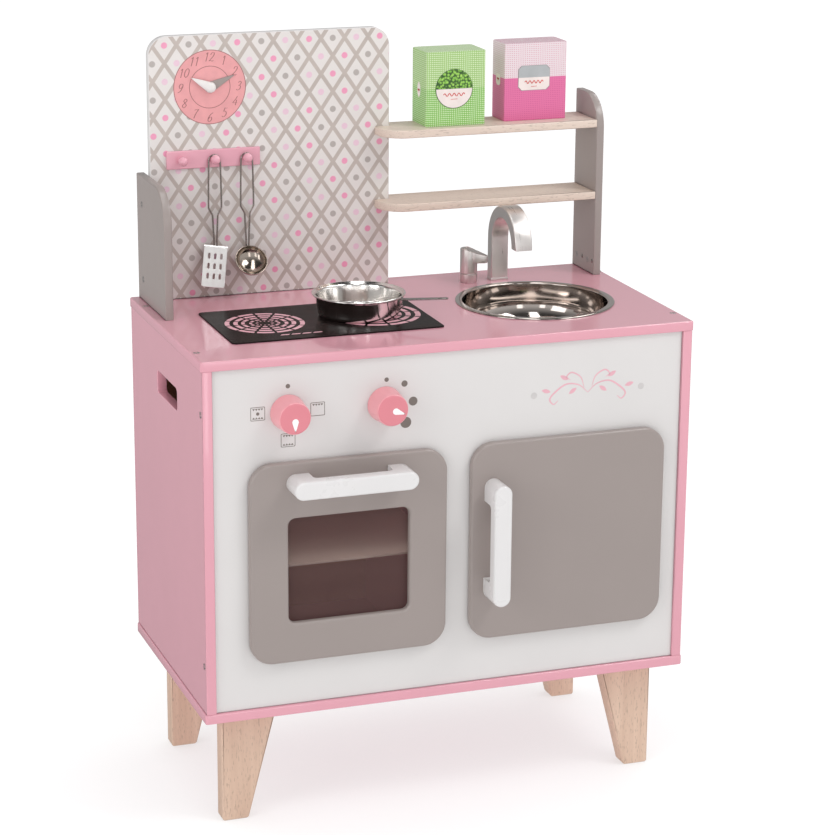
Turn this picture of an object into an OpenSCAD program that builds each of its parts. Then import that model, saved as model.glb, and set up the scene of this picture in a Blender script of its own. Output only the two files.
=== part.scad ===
// Toy kitchen: a cabinet on four legs with a drop-down oven door, a side-hung cupboard door, two turning
// knobs, a hob, a lift-out sink bowl, a tap, a patterned back board with clock and pegs, and two shelves.
// Millimetres, +Z up, -Y is the front. The origin is on the floor under the middle of the whole box.

/* [Worktop and cabinet] */
// Width of the worktop, and of the whole kitchen
top_w = 545; // [520:1:580]
// Depth of the worktop
top_d = 293; // [280:1:310]
// Height of the worktop's upper face above the floor
top_z = 516.5; // [500:0.5:530]
// Thickness of the cabinet boards
board = 10.5; // [9:0.5:12]
// Length of the legs
leg_h = 125; // [100:1:140]
// How far the worktop stands out past each side panel
side_in = 1.5; // [1:0.5:4]
// How far the front panel sits behind the side panels' front edges
panel_in = 3.5; // [2:0.5:6]

/* [Doors] */
// Thickness of a door board
door_t = 8.5; // [8:0.5:10]
// Gap between a closed door and the front panel
door_gap = 0.5; // [0.4:0.1:1]
// Radius of a door's corners
door_r = 25; // [15:1:35]
// How much a door overlaps its opening on each side
door_lap = 12; // [10:0.5:14]
// How far a handle stands out from its door
handle_out = 31.5; // [28:0.5:36]
// Overall length of a handle
handle_l = 134; // [120:1:150]

/* [Back board and shelves] */
// Height of the patterned board's top edge above the floor
back_z = 805.4; // [780:0.1:830]
// Thickness of the upper boards: posts, back board and shelves
upper_t = 9; // [8:0.5:10]
// Height of the upper shelf's top face
shelf_hi = 695.5; // [680:0.5:700]
// Height of the lower shelf's top face
shelf_lo = 613.5; // [600:0.5:630]

/* [Knobs, pegs and clock] */
// Diameter of a knob at the panel
knob_d = 38; // [34:1:42]
// How far a knob stands out from the panel
knob_out = 26.5; // [22:0.5:30]
// Distance between two pegs
peg_step = 36.4; // [34:0.2:38]
// Diameter of a peg's round head
peg_d = 10.6; // [9:0.2:11]

/* [Sink, tap, hob and pan] */
// Outer diameter of the sink bowl's rim
sink_d = 175; // [165:1:180]
// Depth of the sink bowl
sink_h = 48; // [35:1:60]
// Height of the tap above the worktop
tap_h = 91.5; // [80:0.5:95]
// Outer diameter of the pan's rim
pan_d = 101; // [90:1:105]
// Height of the pan
pan_h = 25; // [20:1:30]

/* [Hidden] */
$fn = 64;
// A little extra, so that cuts run past the faces they open
eps = 0.5;

pink = [0.93, 0.68, 0.74];
rose = [0.93, 0.55, 0.61];
taupe = [0.62, 0.58, 0.55];
white = [0.93, 0.92, 0.91];
beech = [0.88, 0.75, 0.64];
steel = [0.72, 0.72, 0.72];
silver = [0.66, 0.64, 0.63];

// Cabinet levels and faces. mid is the worktop's mid-depth, behind the origin because of the handles.
top_front = top_d/2;
door_front = top_front - panel_in + door_gap + door_t;
total_d = top_d/2 + door_front + handle_out;
mid = total_d/2 - top_d/2;
front_y = mid - top_front;
back_y = mid + top_front;
panel_y = front_y + panel_in;
door_back_y = panel_y - door_gap;
door_front_y = door_back_y - door_t;
side_x = top_w/2 - side_in;
inner_x = side_x - board;
base_z = leg_h + board;
under_z = top_z - board;
panel_t = 10;
back_t = 3;

// The two doors: [left, right, bottom, top]
oven = [-224.5, -8.5, 185.5, 404];
cupboard = [18.5, 240.5, 185.5, 404];
oven_mid = (oven[0] + oven[1])/2;
cupboard_mid_z = (cupboard[2] + cupboard[3])/2;
window = [oven_mid - 66.3, oven_mid + 66.3, 229, 343.5];
window_r = 8;
pane_lap = 7;
pane_t = 2;
divider_x = 0;
divider_t = 10;

// Door pivots: the axis lies in the door's thickness, close to the hinge edge
pivot_in = 3.3;
pivot_y = door_back_y - 4.2;
pin_r = 1.25;
pin_fit = 0.05;
knuckle_r = 2.5;
knuckle_w = 20;
pin_l = 44;
leaf_t = 1.5;
hinge_off = 70;
relief = 2;

// Handles and magnets
handle_w = 19.6;
bar_t = 12;
stand_l = 24;
oven_handle_z = 382;
cupboard_handle_x = 42.9;
cupboard_handle_z = 298.5;
magnet_r = 4;

// Knobs
oven_knob_at = [-180.2, 455.7];
hob_knob_at = [-75.5, 455];
spindle_r = 3;

// Upper boards, from the worktop's mid-depth
board_x = [-253, 20];
board_y = mid + 120;
board_r = 21;
post_l = [-262, 30, 655, 38];
post_r = [255, 84, 722, 37];
post_back = 145.5;
shelf_front = mid + 84;
shelf_back = mid + 142;
shelf_tip = 3;
shelf_r = 28;

// Rail, pegs and clock
rail_x = [-235, -130];
rail_z = [661.2, 681];
rail_t = 3;
peg_x = -182.5;
peg_z = 671;
neck_r = 3;
head_y = board_y - 11;
clock_at = [-185, 748.5];
hand_t = 1.2;

// Hob, pan, sink and tap, from the worktop's mid-depth
hob_x = [-222, 11];
hob_y = [mid - 88.5, mid + 48.5];
hob_t = 1.5;
pan_at = [-60, mid - 12];
pan_turn = -30;
sink_at = [145, mid - 9];
sink_wall = 1;
tap_x = 134;
tap_w = 20;
tap_t = 13.5;
tap_y = [mid + 22, mid + 107];
lever_at = [108, mid + 98];
lever_r = 9.7;
lever_turn = -30;

// Utensils: the wire's radius, and where the loop's centre line lies in depth
wire_r = 0.95;
wire_y = board_y - 5.6;

// Cartons: [left, right, front, back, height]
green_box = [54, 124.4, mid + 95.4, mid + 141, 83];
pink_box = [150, 225, mid + 104, mid + 142, 87];
carton_t = 1;

// ---- Shapes that several parts share ----

// Rectangle with rounded corners, from its edges
module rounded(x0, x1, y0, y1, r) {
    translate([x0 + r, y0]) square([x1 - x0 - 2*r, y1 - y0]);
    translate([x0, y0 + r]) square([x1 - x0, y1 - y0 - 2*r]);
    for (x = [x0 + r, x1 - r], y = [y0 + r, y1 - r]) translate([x, y]) circle(r);
}

// Stands a flat shape up facing the front, from depth y0 back to y1
module stand(y0, y1) {
    translate([0, y1, 0]) rotate([90, 0, 0]) linear_extrude(y1 - y0) children();
}

// Stands a flat shape up facing sideways, from x0 to x1: its own x runs along Y
module stand_side(x0, x1) {
    translate([x0, 0, 0]) rotate([90, 0, 90]) linear_extrude(x1 - x0) children();
}

// Countersunk screw with its head's face at the origin, pointing down
module screw(l = 28, head = 3.5, shank = 1.7) {
    translate([0, 0, -2]) cylinder(h = 2, r1 = shank, r2 = head);
    translate([0, 0, -l]) cylinder(h = l - 2, r = shank);
}

// ---- Cabinet ----

module worktop() {
    color(pink) difference() {
        translate([0, 0, under_z]) linear_extrude(board)
            rounded(-top_w/2, top_w/2, front_y, back_y, 3);
        translate([sink_at[0], sink_at[1], under_z - eps]) cylinder(h = board + 2*eps, r = sink_d/2 - 6);
        carcass_screws();
        post_screws();
        tap_screws();
    }
}

module hand_hole() {
    stand_side(-side_x - eps, -inner_x + eps) rounded(mid - 45.5, mid + 35.5, 438, 462, 5);
}

module side_panel() {
    difference() {
        stand_side(-side_x, -inner_x) translate([front_y + 0.5, base_z])
            square([top_d - 1, under_z - base_z]);
        hand_hole();
        carcass_screws();
    }
}

module side_left() { color(pink) side_panel(); }
module side_right() { color(pink) mirror([1, 0, 0]) side_panel(); }

module bottom_panel() {
    color(pink) difference() {
        translate([0, 0, leg_h]) linear_extrude(board)
            rounded(-top_w/2, top_w/2, front_y, back_y, 3);
        carcass_screws();
        leg_screws();
    }
}

// The opening behind a door: it lets the door overlap all round
module opening(d) {
    stand(panel_y - eps, panel_y + panel_t + eps)
        rounded(d[0] + door_lap, d[1] - door_lap, d[2] + door_lap, d[3] - door_lap, 13);
}

module front_panel() {
    color(white) difference() {
        stand(panel_y, panel_y + panel_t) translate([-inner_x, base_z])
            square([2*inner_x, under_z - base_z]);
        opening(oven);
        opening(cupboard);
        for (k = [oven_knob_at, hob_knob_at]) translate([k[0], panel_y + panel_t + eps, k[1]])
            rotate([90, 0, 0]) cylinder(h = panel_t + 2*eps, r = spindle_r + pin_fit);
        door_magnets();
        carcass_screws();
    }
}

module back_panel() {
    color(beech) stand(back_y - 4 - back_t, back_y - 4) translate([-inner_x, base_z])
        square([2*inner_x, under_z - base_z]);
}

module centre_divider() {
    color(pink) difference() {
        translate([divider_x, panel_y + panel_t, base_z])
            cube([divider_t, back_y - 4 - back_t - panel_y - panel_t, under_z - base_z]);
        carcass_screws();
    }
}

module oven_shelf() {
    color(beech) translate([-inner_x, mid - 120, 280])
        cube([inner_x + divider_x, back_y - 4 - back_t - mid + 120, 3]);
}

// Tapered leg: upright on the outside, narrowing to the foot on the inside
module leg(y0) {
    outer = 247.5;
    depth = 21;
    difference() {
        stand(y0, y0 + depth)
            polygon([[-outer, 2], [-outer + 2, 0], [-outer + 27.5, 0], [-outer + 30, 4],
                     [-outer + 61, leg_h], [-outer, leg_h]]);
        leg_screws();
    }
}

leg_y = [mid - 118, mid + 93];
module leg_front_left() { color(beech) leg(leg_y[0]); }
module leg_front_right() { color(beech) mirror([1, 0, 0]) leg(leg_y[0]); }
module leg_back_left() { color(beech) leg(leg_y[1]); }
module leg_back_right() { color(beech) mirror([1, 0, 0]) leg(leg_y[1]); }

module leg_screws() {
    color(steel) for (x = [-1, 1], y = leg_y, s = [232, 205])
        translate([x*s, y + 10.5, base_z]) screw(45);
}

// Screws through the worktop and the base into the side panels, and through the sides into the panels
module carcass_screws() {
    side_mid = side_x - board/2;
    color(steel) {
        for (x = [-1, 1], y = [mid - 107, mid + 100]) {
            translate([x*side_mid, y, top_z]) screw(32);
            translate([x*side_mid, y, leg_h]) rotate([180, 0, 0]) screw(32);
        }
        for (x = [-1, 1], z = [187.5, 459.5])
            translate([x*side_x, panel_y + panel_t/2, z]) rotate([0, x*90, 0]) screw();
        for (y = [mid - 80, mid + 80]) translate([divider_x + divider_t/2, y, leg_h])
            rotate([180, 0, 0]) screw(32);
    }
}

// ---- Posts, back board and shelves ----

// Upright board with its upper front corner rounded: y0 front, z1 top
module post_shape(y0, z1, r) {
    y1 = post_back;
    translate([mid, 0]) intersection() {
        translate([y0, top_z]) square([y1 - y0, z1 - top_z]);
        union() {
            translate([y0 + r, top_z]) square([y1 - y0, z1 - top_z]);
            translate([y0 - 1, top_z - 1]) square([y1 - y0 + 1, z1 - top_z - r + 1]);
            translate([y0 + r, z1 - r]) circle(r);
        }
    }
}

module post_left() {
    color(taupe) difference() {
        stand_side(post_l[0], post_l[0] + upper_t) post_shape(post_l[1], post_l[2], post_l[3]);
        post_screws();
    }
}

module post_right() {
    color(taupe) difference() {
        stand_side(post_r[0], post_r[0] + upper_t) post_shape(post_r[1], post_r[2], post_r[3]);
        post_screws();
        shelf_screws();
    }
}

// Small steel angle outside the right post
module post_bracket() {
    x0 = post_r[0] + upper_t;
    color(silver) difference() {
        translate([x0, mid + 96, top_z]) {
            cube([1.5, 42, 25]);
            cube([6, 42, 1.5]);
        }
        post_screws();
    }
}

module post_screws() {
    color(steel) {
        for (z = [540.5, 624]) translate([post_l[0], board_y + upper_t/2, z]) rotate([0, -90, 0]) screw();
        for (y = [101, 131.5]) translate([post_r[0], mid + y, 531.5]) rotate([0, -90, 0])
            screw(14, 3.2, 1.6);
        for (x = [post_l[0], post_r[0]], y = [100, 130])
            translate([x + upper_t/2, mid + y - 12, under_z]) rotate([180, 0, 0]) screw(32);
        for (x = [-200, -30]) translate([x, board_y + upper_t/2, under_z]) rotate([180, 0, 0]) screw(32);
    }
}

module splashback() {
    color(white) difference() {
        stand(board_y, board_y + upper_t) union() {
            rounded(board_x[0], board_x[1], top_z + 60, back_z, board_r);
            translate([board_x[0], top_z]) square([board_x[1] - board_x[0], 100]);
        }
        translate([clock_at[0], board_y + upper_t + eps, clock_at[1]]) rotate([90, 0, 0])
            cylinder(h = upper_t + 2*eps, r = 2);
        post_screws();
        shelf_screws();
        hook_pegs();
    }
}

// Shelf with a round left tip in front of the back board, and a notch that takes the board's edge
module shelf(z) {
    color(beech) difference() {
        translate([0, 0, z - upper_t]) linear_extrude(upper_t) union() {
            translate([shelf_tip + shelf_r, shelf_front])
                square([post_r[0] - shelf_tip - shelf_r, board_y - shelf_front]);
            translate([shelf_tip, shelf_front + shelf_r])
                square([shelf_r + 1, board_y - shelf_front - shelf_r]);
            translate([shelf_tip + shelf_r, shelf_front + shelf_r]) circle(shelf_r);
            translate([board_x[1], board_y - 1])
                square([post_r[0] - board_x[1], shelf_back - board_y + 1]);
        }
        shelf_screws();
        translate([shelf_tip - 1, board_y, z - upper_t - 1])
            cube([board_x[1] - shelf_tip + 1, upper_t + 10, upper_t + 2]);
    }
}

module shelf_upper() { shelf(shelf_hi); }
module shelf_lower() { shelf(shelf_lo); }

module shelf_screws() {
    color(steel) for (z = [shelf_lo, shelf_hi]) {
        for (y = [mid + 98, mid + 128])
            translate([post_r[0] + upper_t, y, z - upper_t/2]) rotate([0, 90, 0]) screw();
        translate([12, board_y + upper_t, z - upper_t/2]) rotate([-90, 0, 0]) screw(24);
    }
}

module hook_rail() {
    color(rose) difference() {
        stand(board_y - rail_t, board_y) rounded(rail_x[0], rail_x[1], rail_z[0], rail_z[1], 1);
        hook_pegs();
    }
}

// Each peg is a dowel through rail and board, with a narrow neck and a round head
module hook_pegs() {
    color(rose) for (i = [-1:1]) translate([peg_x + i*peg_step, board_y, peg_z]) {
        translate([0, 7, 0]) rotate([90, 0, 0]) cylinder(h = 7 + board_y - head_y, r = neck_r);
        translate([0, head_y - board_y, 0]) sphere(d = peg_d);
    }
}

// ---- Clock ----

module clock_pin() {
    color(rose) translate([clock_at[0], 0, clock_at[1]]) {
        translate([0, board_y + upper_t, 0]) rotate([90, 0, 0]) cylinder(h = upper_t + 3.3, r = 2);
        translate([0, board_y - 3.3, 0]) rotate([90, 0, 0]) cylinder(h = 1, r = 3);
    }
}

// Leaf-shaped hand that points up, with a round hub and a bore for the pin
module hand(l, hub, y) {
    difference() {
        stand(y, y + hand_t) union() {
            circle(hub);
            polygon([[-hub*0.8, 0], [-hub*0.72, hub*1.3], [0, l], [hub*0.72, hub*1.3], [hub*0.8, 0]]);
        }
        translate([0, y - eps, 0]) rotate([-90, 0, 0]) cylinder(h = hand_t + 2*eps, r = 2 + pin_fit);
    }
}

// The hour hand lies in front of the minute hand
module clock_hour_hand() {
    color(white) translate([clock_at[0], 0, clock_at[1]]) rotate([0, -62, 0])
        hand(24, 6, board_y - 3);
}

module clock_minute_hand() {
    color(taupe) translate([clock_at[0], 0, clock_at[1]]) rotate([0, 66, 0])
        hand(30, 6, board_y - 1.5);
}

// ---- Hob, pan, sink and tap ----

module hob_plate() {
    color([0.2, 0.17, 0.16]) translate([0, 0, top_z]) linear_extrude(hob_t)
        rounded(hob_x[0], hob_x[1], hob_y[0], hob_y[1], 5);
}

// Round vessel's wall: outer points go down to the floor, inner points come back up
module vessel(outer, wall) {
    n = len(outer);
    inner = [for (i = [n - 1:-1:0]) [max(0, outer[i][0] - (i == n - 1 ? 0 : wall)), outer[i][1] + wall]];
    rotate_extrude() polygon(concat(outer, inner));
}

module sink_bowl() {
    r = sink_d/2 - 7;
    bend = 30;
    depth = sink_h;
    outer = concat([[r, 0]], [for (a = [0:10:90]) [r - bend + bend*cos(a), bend - depth - bend*sin(a)]],
                   [[0, -depth]]);
    color(steel) translate([sink_at[0], sink_at[1], top_z]) {
        vessel(outer, sink_wall);
        rotate_extrude() polygon([[r - sink_wall, 0], [sink_d/2, 0], [sink_d/2 - 1.5, 1.6], [r - sink_wall, 1]]);
    }
}

// Cane profile: a straight column at the back and a half ring over the bowl
module tap_spout() {
    r = (tap_y[1] - tap_y[0])/2;
    top = top_z + tap_h - r;
    c = (tap_y[0] + tap_y[1])/2;
    color(silver) difference() {
        stand_side(tap_x, tap_x + tap_w) {
            translate([tap_y[1] - tap_t, top_z]) square([tap_t, top - top_z]);
            translate([c, top]) difference() {
                circle(r);
                circle(r - tap_t);
                translate([-r - 1, -r - 1]) square([2*r + 2, r + 1]);
            }
        }
        tap_screws();
    }
}

module tap_base() {
    color(silver) difference() {
        translate([lever_at[0], lever_at[1], top_z]) {
            cylinder(h = 10.5, r = lever_r);
            cylinder(h = 24, r = 4);
        }
        tap_screws();
    }
}

// Turning cap with a slanted top that runs out into a short arm
module tap_lever() {
    color(silver) translate([lever_at[0], lever_at[1], top_z + 10.8]) rotate([0, 0, lever_turn])
        difference() {
            union() {
                cylinder(h = 28, r = lever_r);
                translate([0, 0, 13]) linear_extrude(15)
                    polygon([[0, -8.5], [0, 8.5], [17, 5], [20, 3], [21.5, 0], [20, -3], [17, -5]]);
            }
            translate([0, 0, -eps]) cylinder(h = 13.8, r = 4 + pin_fit);
            translate([-3, -20, 28]) rotate([0, 24, 0]) cube([50, 40, 30]);
        }
}

module tap_screws() {
    color(steel) for (p = [[lever_at[0], lever_at[1]], [tap_x + tap_w/2, tap_y[1] - tap_t/2]])
        translate([p[0], p[1], under_z]) rotate([180, 0, 0]) screw(26, 4, 1.8);
}

// The pan's outer profile: a flat rim, a wall that narrows downwards, and a rounded foot
pan_wall = pan_d/2 - 4.5;
pan_outer = concat(
    [[pan_d/2 - 0.3, pan_h - 0.2], [pan_d/2, pan_h - 1.4], [pan_d/2 - 1, pan_h - 2.2], [pan_wall + 0.6, pan_h - 3.6]],
    [for (a = [0:15:90]) [pan_wall - 7 + 5*cos(a), 5 - 5*sin(a)]], [[0, 0]]);

module pan_body() {
    wall = 1;
    n = len(pan_outer);
    inner = [for (i = [n - 1:-1:3]) [max(0, pan_outer[i][0] - (i == n - 1 ? 0 : wall)), pan_outer[i][1] + wall]];
    color(steel) translate([pan_at[0], pan_at[1], top_z + hob_t])
        rotate_extrude() polygon(concat(pan_outer, inner, [[pan_d/2 - 1.4, pan_h]]));
}

// Flat bar that rises a little away from the pan, on a plate that follows the pan's wall
module pan_handle() {
    r = pan_d/2 - 5.2;
    color(steel) translate([pan_at[0], pan_at[1], top_z + hob_t]) difference() {
        rotate([0, 0, pan_turn]) difference() {
            union() {
                translate([0, 0, 7]) intersection() {
                    cylinder(h = 12.5, r = r + 2.2);
                    translate([r - 10, -8.5, 0]) cube([14, 17, 13]);
                }
                translate([r - 2, 0, 18]) rotate([0, -4, 0]) rotate([90, 0, 0]) translate([0, 0, -3.5])
                    linear_extrude(7) polygon([[0, 0], [0, 1.6], [50, 1.6], [52, 0.8], [50, 0]]);
            }
            translate([r + 43, 0, 10]) cylinder(h = 30, r = 1.7);
        }
        rotate_extrude() polygon(concat([[0, pan_h]], pan_outer));
    }
}

// ---- Knobs ----

module knob(at) {
    translate([at[0], panel_y - 0.3, at[1]]) rotate([90, 0, 0]) difference() {
        union() {
            cylinder(h = knob_out - 1.3, r1 = knob_d/2, r2 = knob_d/2 - 2);
            translate([0, 0, knob_out - 1.3]) cylinder(h = 1, r1 = knob_d/2 - 2, r2 = knob_d/2 - 3);
        }
        translate([0, 0, -eps]) cylinder(h = 16 + eps, r = spindle_r);
    }
}

// Spindle through the panel, with a retaining collar behind it
module spindle(at) {
    translate([at[0], panel_y - 16.3, at[1]]) rotate([-90, 0, 0]) {
        cylinder(h = 16.3 + panel_t + 0.3 + 3, r = spindle_r);
        translate([0, 0, 16.3 + panel_t + 0.3]) cylinder(h = 3, r = 7);
    }
}

module oven_knob() { color(rose) knob(oven_knob_at); }
module hob_knob() { color(rose) knob(hob_knob_at); }
module oven_knob_spindle() { color(beech) spindle(oven_knob_at); }
module hob_knob_spindle() { color(beech) spindle(hob_knob_at); }

// ---- Doors ----

// Pocket in a door's back for one hinge, in the hinge's own frame: axis along X, opening towards +Z
module hinge_pocket() {
    translate([-knuckle_w/2 - 0.4, -3, -pivot_in - eps]) cube([knuckle_w + 0.8, 10, pivot_in + eps + 11.7]);
    rotate([0, 90, 0]) cylinder(h = pin_l + 0.4, r = pin_r + pin_fit, center = true);
}

// Fixed leaf: a knuckle round the pin, a web, and a flange that lies in the opening's edge
module hinge_leaf() {
    lift = door_lap - pivot_in;
    reach = panel_y - pivot_y;
    difference() {
        union() {
            rotate([0, 90, 0]) cylinder(h = knuckle_w, r = knuckle_r, center = true);
            translate([-knuckle_w/2, -leaf_t/2, 0]) cube([knuckle_w, leaf_t, lift + leaf_t]);
            translate([-knuckle_w/2, -leaf_t/2, lift]) cube([knuckle_w, reach + 9, leaf_t]);
        }
        rotate([0, 90, 0]) cylinder(h = knuckle_w + 2, r = pin_r, center = true);
    }
}

module hinge_pin() {
    rotate([0, 90, 0]) cylinder(h = pin_l, r = pin_r, center = true);
}

// Places its children at the two hinges of each door
module at_oven_hinges() {
    for (s = [-1, 1]) translate([oven_mid + s*hinge_off, pivot_y, oven[2] + pivot_in]) children();
}

module at_cupboard_hinges() {
    for (s = [-1, 1]) translate([cupboard[1] - pivot_in, pivot_y, cupboard_mid_z + s*hinge_off])
        rotate([0, -90, 0]) children();
}

// The door's hinge edge is bevelled at the back, so that it turns clear of the panel
module back_bevel(l) {
    translate([0, door_back_y - pivot_y, -pivot_in]) rotate([45, 0, 0])
        cube([l, relief*sqrt(2), relief*sqrt(2)], center = true);
}

module oven_door() {
    color(taupe) difference() {
        stand(door_front_y, door_back_y) rounded(oven[0], oven[1], oven[2], oven[3], door_r);
        stand(door_front_y - eps, door_back_y + eps)
            rounded(window[0], window[1], window[2], window[3], window_r);
        oven_window();
        at_oven_hinges() hinge_pocket();
        translate([oven_mid, pivot_y, oven[2] + pivot_in]) back_bevel(oven[1] - oven[0]);
        oven_handle_screws();
        oven_strike();
    }
}

module oven_window() {
    color([0.35, 0.25, 0.22, 0.6]) stand(door_back_y - pane_t, door_back_y)
        rounded(window[0] - pane_lap, window[1] + pane_lap, window[2] - pane_lap, window[3] + pane_lap, 4);
}

module cupboard_door() {
    color(taupe) difference() {
        stand(door_front_y, door_back_y)
            rounded(cupboard[0], cupboard[1], cupboard[2], cupboard[3], door_r);
        at_cupboard_hinges() hinge_pocket();
        translate([cupboard[1] - pivot_in, pivot_y, cupboard_mid_z]) rotate([0, -90, 0])
            back_bevel(cupboard[3] - cupboard[2]);
        cupboard_handle_screws();
        cupboard_strike();
    }
}

module oven_hinges() { color(steel) at_oven_hinges() hinge_leaf(); }
module cupboard_hinges() { color(steel) at_cupboard_hinges() hinge_leaf(); }
module hinge_pins() {
    color(steel) {
        at_oven_hinges() hinge_pin();
        at_cupboard_hinges() hinge_pin();
    }
}

// Bar handle lying along X: a flat bar with round ends on two stand-offs
module handle() {
    r = handle_w/2;
    stand(door_front_y - handle_out, door_front_y - handle_out + bar_t)
        rounded(-handle_l/2, handle_l/2, -r, r, r - 0.01);
    for (s = [-1, 1]) stand(door_front_y - handle_out + bar_t - 1, door_front_y) union() {
        translate([s*(handle_l/2 - r), 0]) circle(r);
        translate([s*(handle_l/2 - (stand_l + r)/2) - (stand_l - r)/2, -r]) square([stand_l - r, 2*r]);
    }
}

// The screws that hold a handle, from the door's back
module handle_screws() {
    for (s = [-1, 1]) translate([s*(handle_l/2 - 12), door_back_y, 0]) rotate([-90, 0, 0]) screw(24);
}

module oven_handle() {
    color(white) difference() {
        translate([oven_mid - 1.5, 0, oven_handle_z]) handle();
        oven_handle_screws();
    }
}

module cupboard_handle() {
    color(white) difference() {
        translate([cupboard_handle_x, 0, cupboard_handle_z]) rotate([0, 90, 0]) handle();
        cupboard_handle_screws();
    }
}

module oven_handle_screws() {
    color(steel) translate([oven_mid - 1.5, 0, oven_handle_z]) handle_screws();
}

module cupboard_handle_screws() {
    color(steel) translate([cupboard_handle_x, 0, cupboard_handle_z]) rotate([0, 90, 0]) handle_screws();
}

// Magnet discs in the front panel, and the strike discs that meet them in the doors' backs
oven_catch = [oven_mid, oven[3] - door_lap/2];
cupboard_catch = [cupboard[0] + door_lap/2, cupboard_mid_z];

module door_magnets() {
    color(steel) for (c = [oven_catch, cupboard_catch])
        translate([c[0], panel_y, c[1]]) rotate([-90, 0, 0]) cylinder(h = 4, r = magnet_r);
}

module strike(c) {
    translate([c[0], door_back_y - 1, c[1]]) rotate([-90, 0, 0]) cylinder(h = 1, r = magnet_r);
}

module oven_strike() { color(steel) strike(oven_catch); }
module cupboard_strike() { color(steel) strike(cupboard_catch); }

// ---- Utensils ----

// Round wire along a path of [x, z] points, swept as one closed tube with a ring at each point
module wire(path, r) {
    n = len(path);
    sides = 10;
    function heading(i) = path[min(i + 1, n - 1)] - path[max(i - 1, 0)];
    function ring(i) = let (t = heading(i)/norm(heading(i)))
        [for (k = [0:sides - 1]) let (a = 360*k/sides)
            [path[i][0] + r*cos(a)*t[1], r*sin(a), path[i][1] - r*cos(a)*t[0]]];
    polyhedron(
        points = [for (i = [0:n - 1]) each ring(i)],
        faces = concat(
            [[for (k = [0:sides - 1]) k]],
            [for (i = [0:n - 2], k = [0:sides - 1]) let (j = (k + 1) % sides)
                [i*sides + k, (i + 1)*sides + k, (i + 1)*sides + j, i*sides + j]],
            [[for (k = [sides - 1:-1:0]) (n - 1)*sides + k]]));
}

// Bent wire handle that hangs on a peg: the loop's top lies on the peg's neck
module wire_handle(x) {
    loop_r = 6.4;
    z0 = peg_z + neck_r + wire_r + 0.3 - loop_r;
    leg = [[1.5, 570.5], [1.5, 575], [1.7, 581], [2.8, 606], [3.3, 609], [6.8, 616], [7.3, 619], [7.3, 622]];
    path = concat(
        [for (p = leg) [-p[0], p[1]]],
        [for (a = [180:-15:0]) [loop_r*cos(a), z0 + loop_r*sin(a)]],
        [for (i = [len(leg) - 1:-1:0]) leg[i]]);
    translate([x, wire_y, 0]) wire(path, wire_r);
}

module spatula_handle() { color(steel) wire_handle(peg_x); }
module ladle_handle() { color(steel) wire_handle(peg_x + peg_step); }

// Slotted blade, bent a little forward, and turned a little on its wires
module spatula_blade() {
    color(steel) translate([peg_x, wire_y - wire_r, 574]) rotate([-12, 9, 0]) difference() {
        stand(-1, 0) rounded(-13.5, 13.5, -45, 0, 2);
        for (x = [-7, 0, 7], z = [-10, -21, -32]) translate([x, 0, z]) stand(-2, 1)
            rounded(-1.2, 1.2, -3, 3, 1.1);
    }
}

// Round scoop whose mouth faces forward and up
module ladle_bowl() {
    r = 18;
    deep = 12;
    tilt = 50;
    n = 8;
    outer = [for (i = [0:n]) let (a = 90*i/n) [r*cos(a), -deep*sin(a)]];
    color(steel) translate([peg_x + peg_step, wire_y - wire_r - 2, 573]) rotate([tilt, 0, 0])
        translate([0, -r, 0]) vessel(outer, 1);
}

// ---- Cartons ----

// Closed, empty box of thin board
module carton(b) {
    t = carton_t;
    translate([b[0], b[2], shelf_hi]) difference() {
        cube([b[1] - b[0], b[3] - b[2], b[4]]);
        translate([t, t, t]) cube([b[1] - b[0] - 2*t, b[3] - b[2] - 2*t, b[4] - 2*t]);
    }
}

module carton_green() { color([0.62, 0.8, 0.42]) carton(green_box); }
module carton_pink() { color([0.9, 0.45, 0.66]) carton(pink_box); }

worktop();
side_left();
side_right();
bottom_panel();
front_panel();
back_panel();
centre_divider();
oven_shelf();
leg_front_left();
leg_front_right();
leg_back_left();
leg_back_right();
leg_screws();
carcass_screws();
post_left();
post_right();
post_bracket();
post_screws();
splashback();
shelf_upper();
shelf_lower();
shelf_screws();
hook_rail();
hook_pegs();
hob_plate();
sink_bowl();
tap_spout();
tap_base();
tap_lever();
tap_screws();
oven_knob();
hob_knob();
oven_knob_spindle();
hob_knob_spindle();
oven_door();
oven_window();
oven_handle();
oven_handle_screws();
oven_hinges();
oven_strike();
cupboard_door();
cupboard_handle();
cupboard_handle_screws();
cupboard_hinges();
cupboard_strike();
hinge_pins();
door_magnets();
clock_pin();
clock_hour_hand();
clock_minute_hand();
pan_body();
pan_handle();
spatula_handle();
spatula_blade();
ladle_handle();
ladle_bowl();
carton_green();
carton_pink();
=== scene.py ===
import bmesh
import bpy
import numpy as np
from mathutils import Matrix, Vector
from mathutils.geometry import tessellate_polygon


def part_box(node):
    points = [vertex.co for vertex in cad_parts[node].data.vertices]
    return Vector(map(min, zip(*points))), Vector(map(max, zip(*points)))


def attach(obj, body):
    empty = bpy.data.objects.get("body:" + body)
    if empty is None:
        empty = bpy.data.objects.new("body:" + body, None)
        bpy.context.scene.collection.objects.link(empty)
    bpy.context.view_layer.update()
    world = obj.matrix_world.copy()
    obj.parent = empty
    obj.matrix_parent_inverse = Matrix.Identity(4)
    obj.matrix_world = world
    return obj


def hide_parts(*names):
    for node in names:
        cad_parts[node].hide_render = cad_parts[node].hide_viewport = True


# Toy kitchen: every board, door, knob, vessel and printed mark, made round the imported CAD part.
# Shapes are worked out in millimetres, in the part's own frame, and scaled to metres as they are made.

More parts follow.
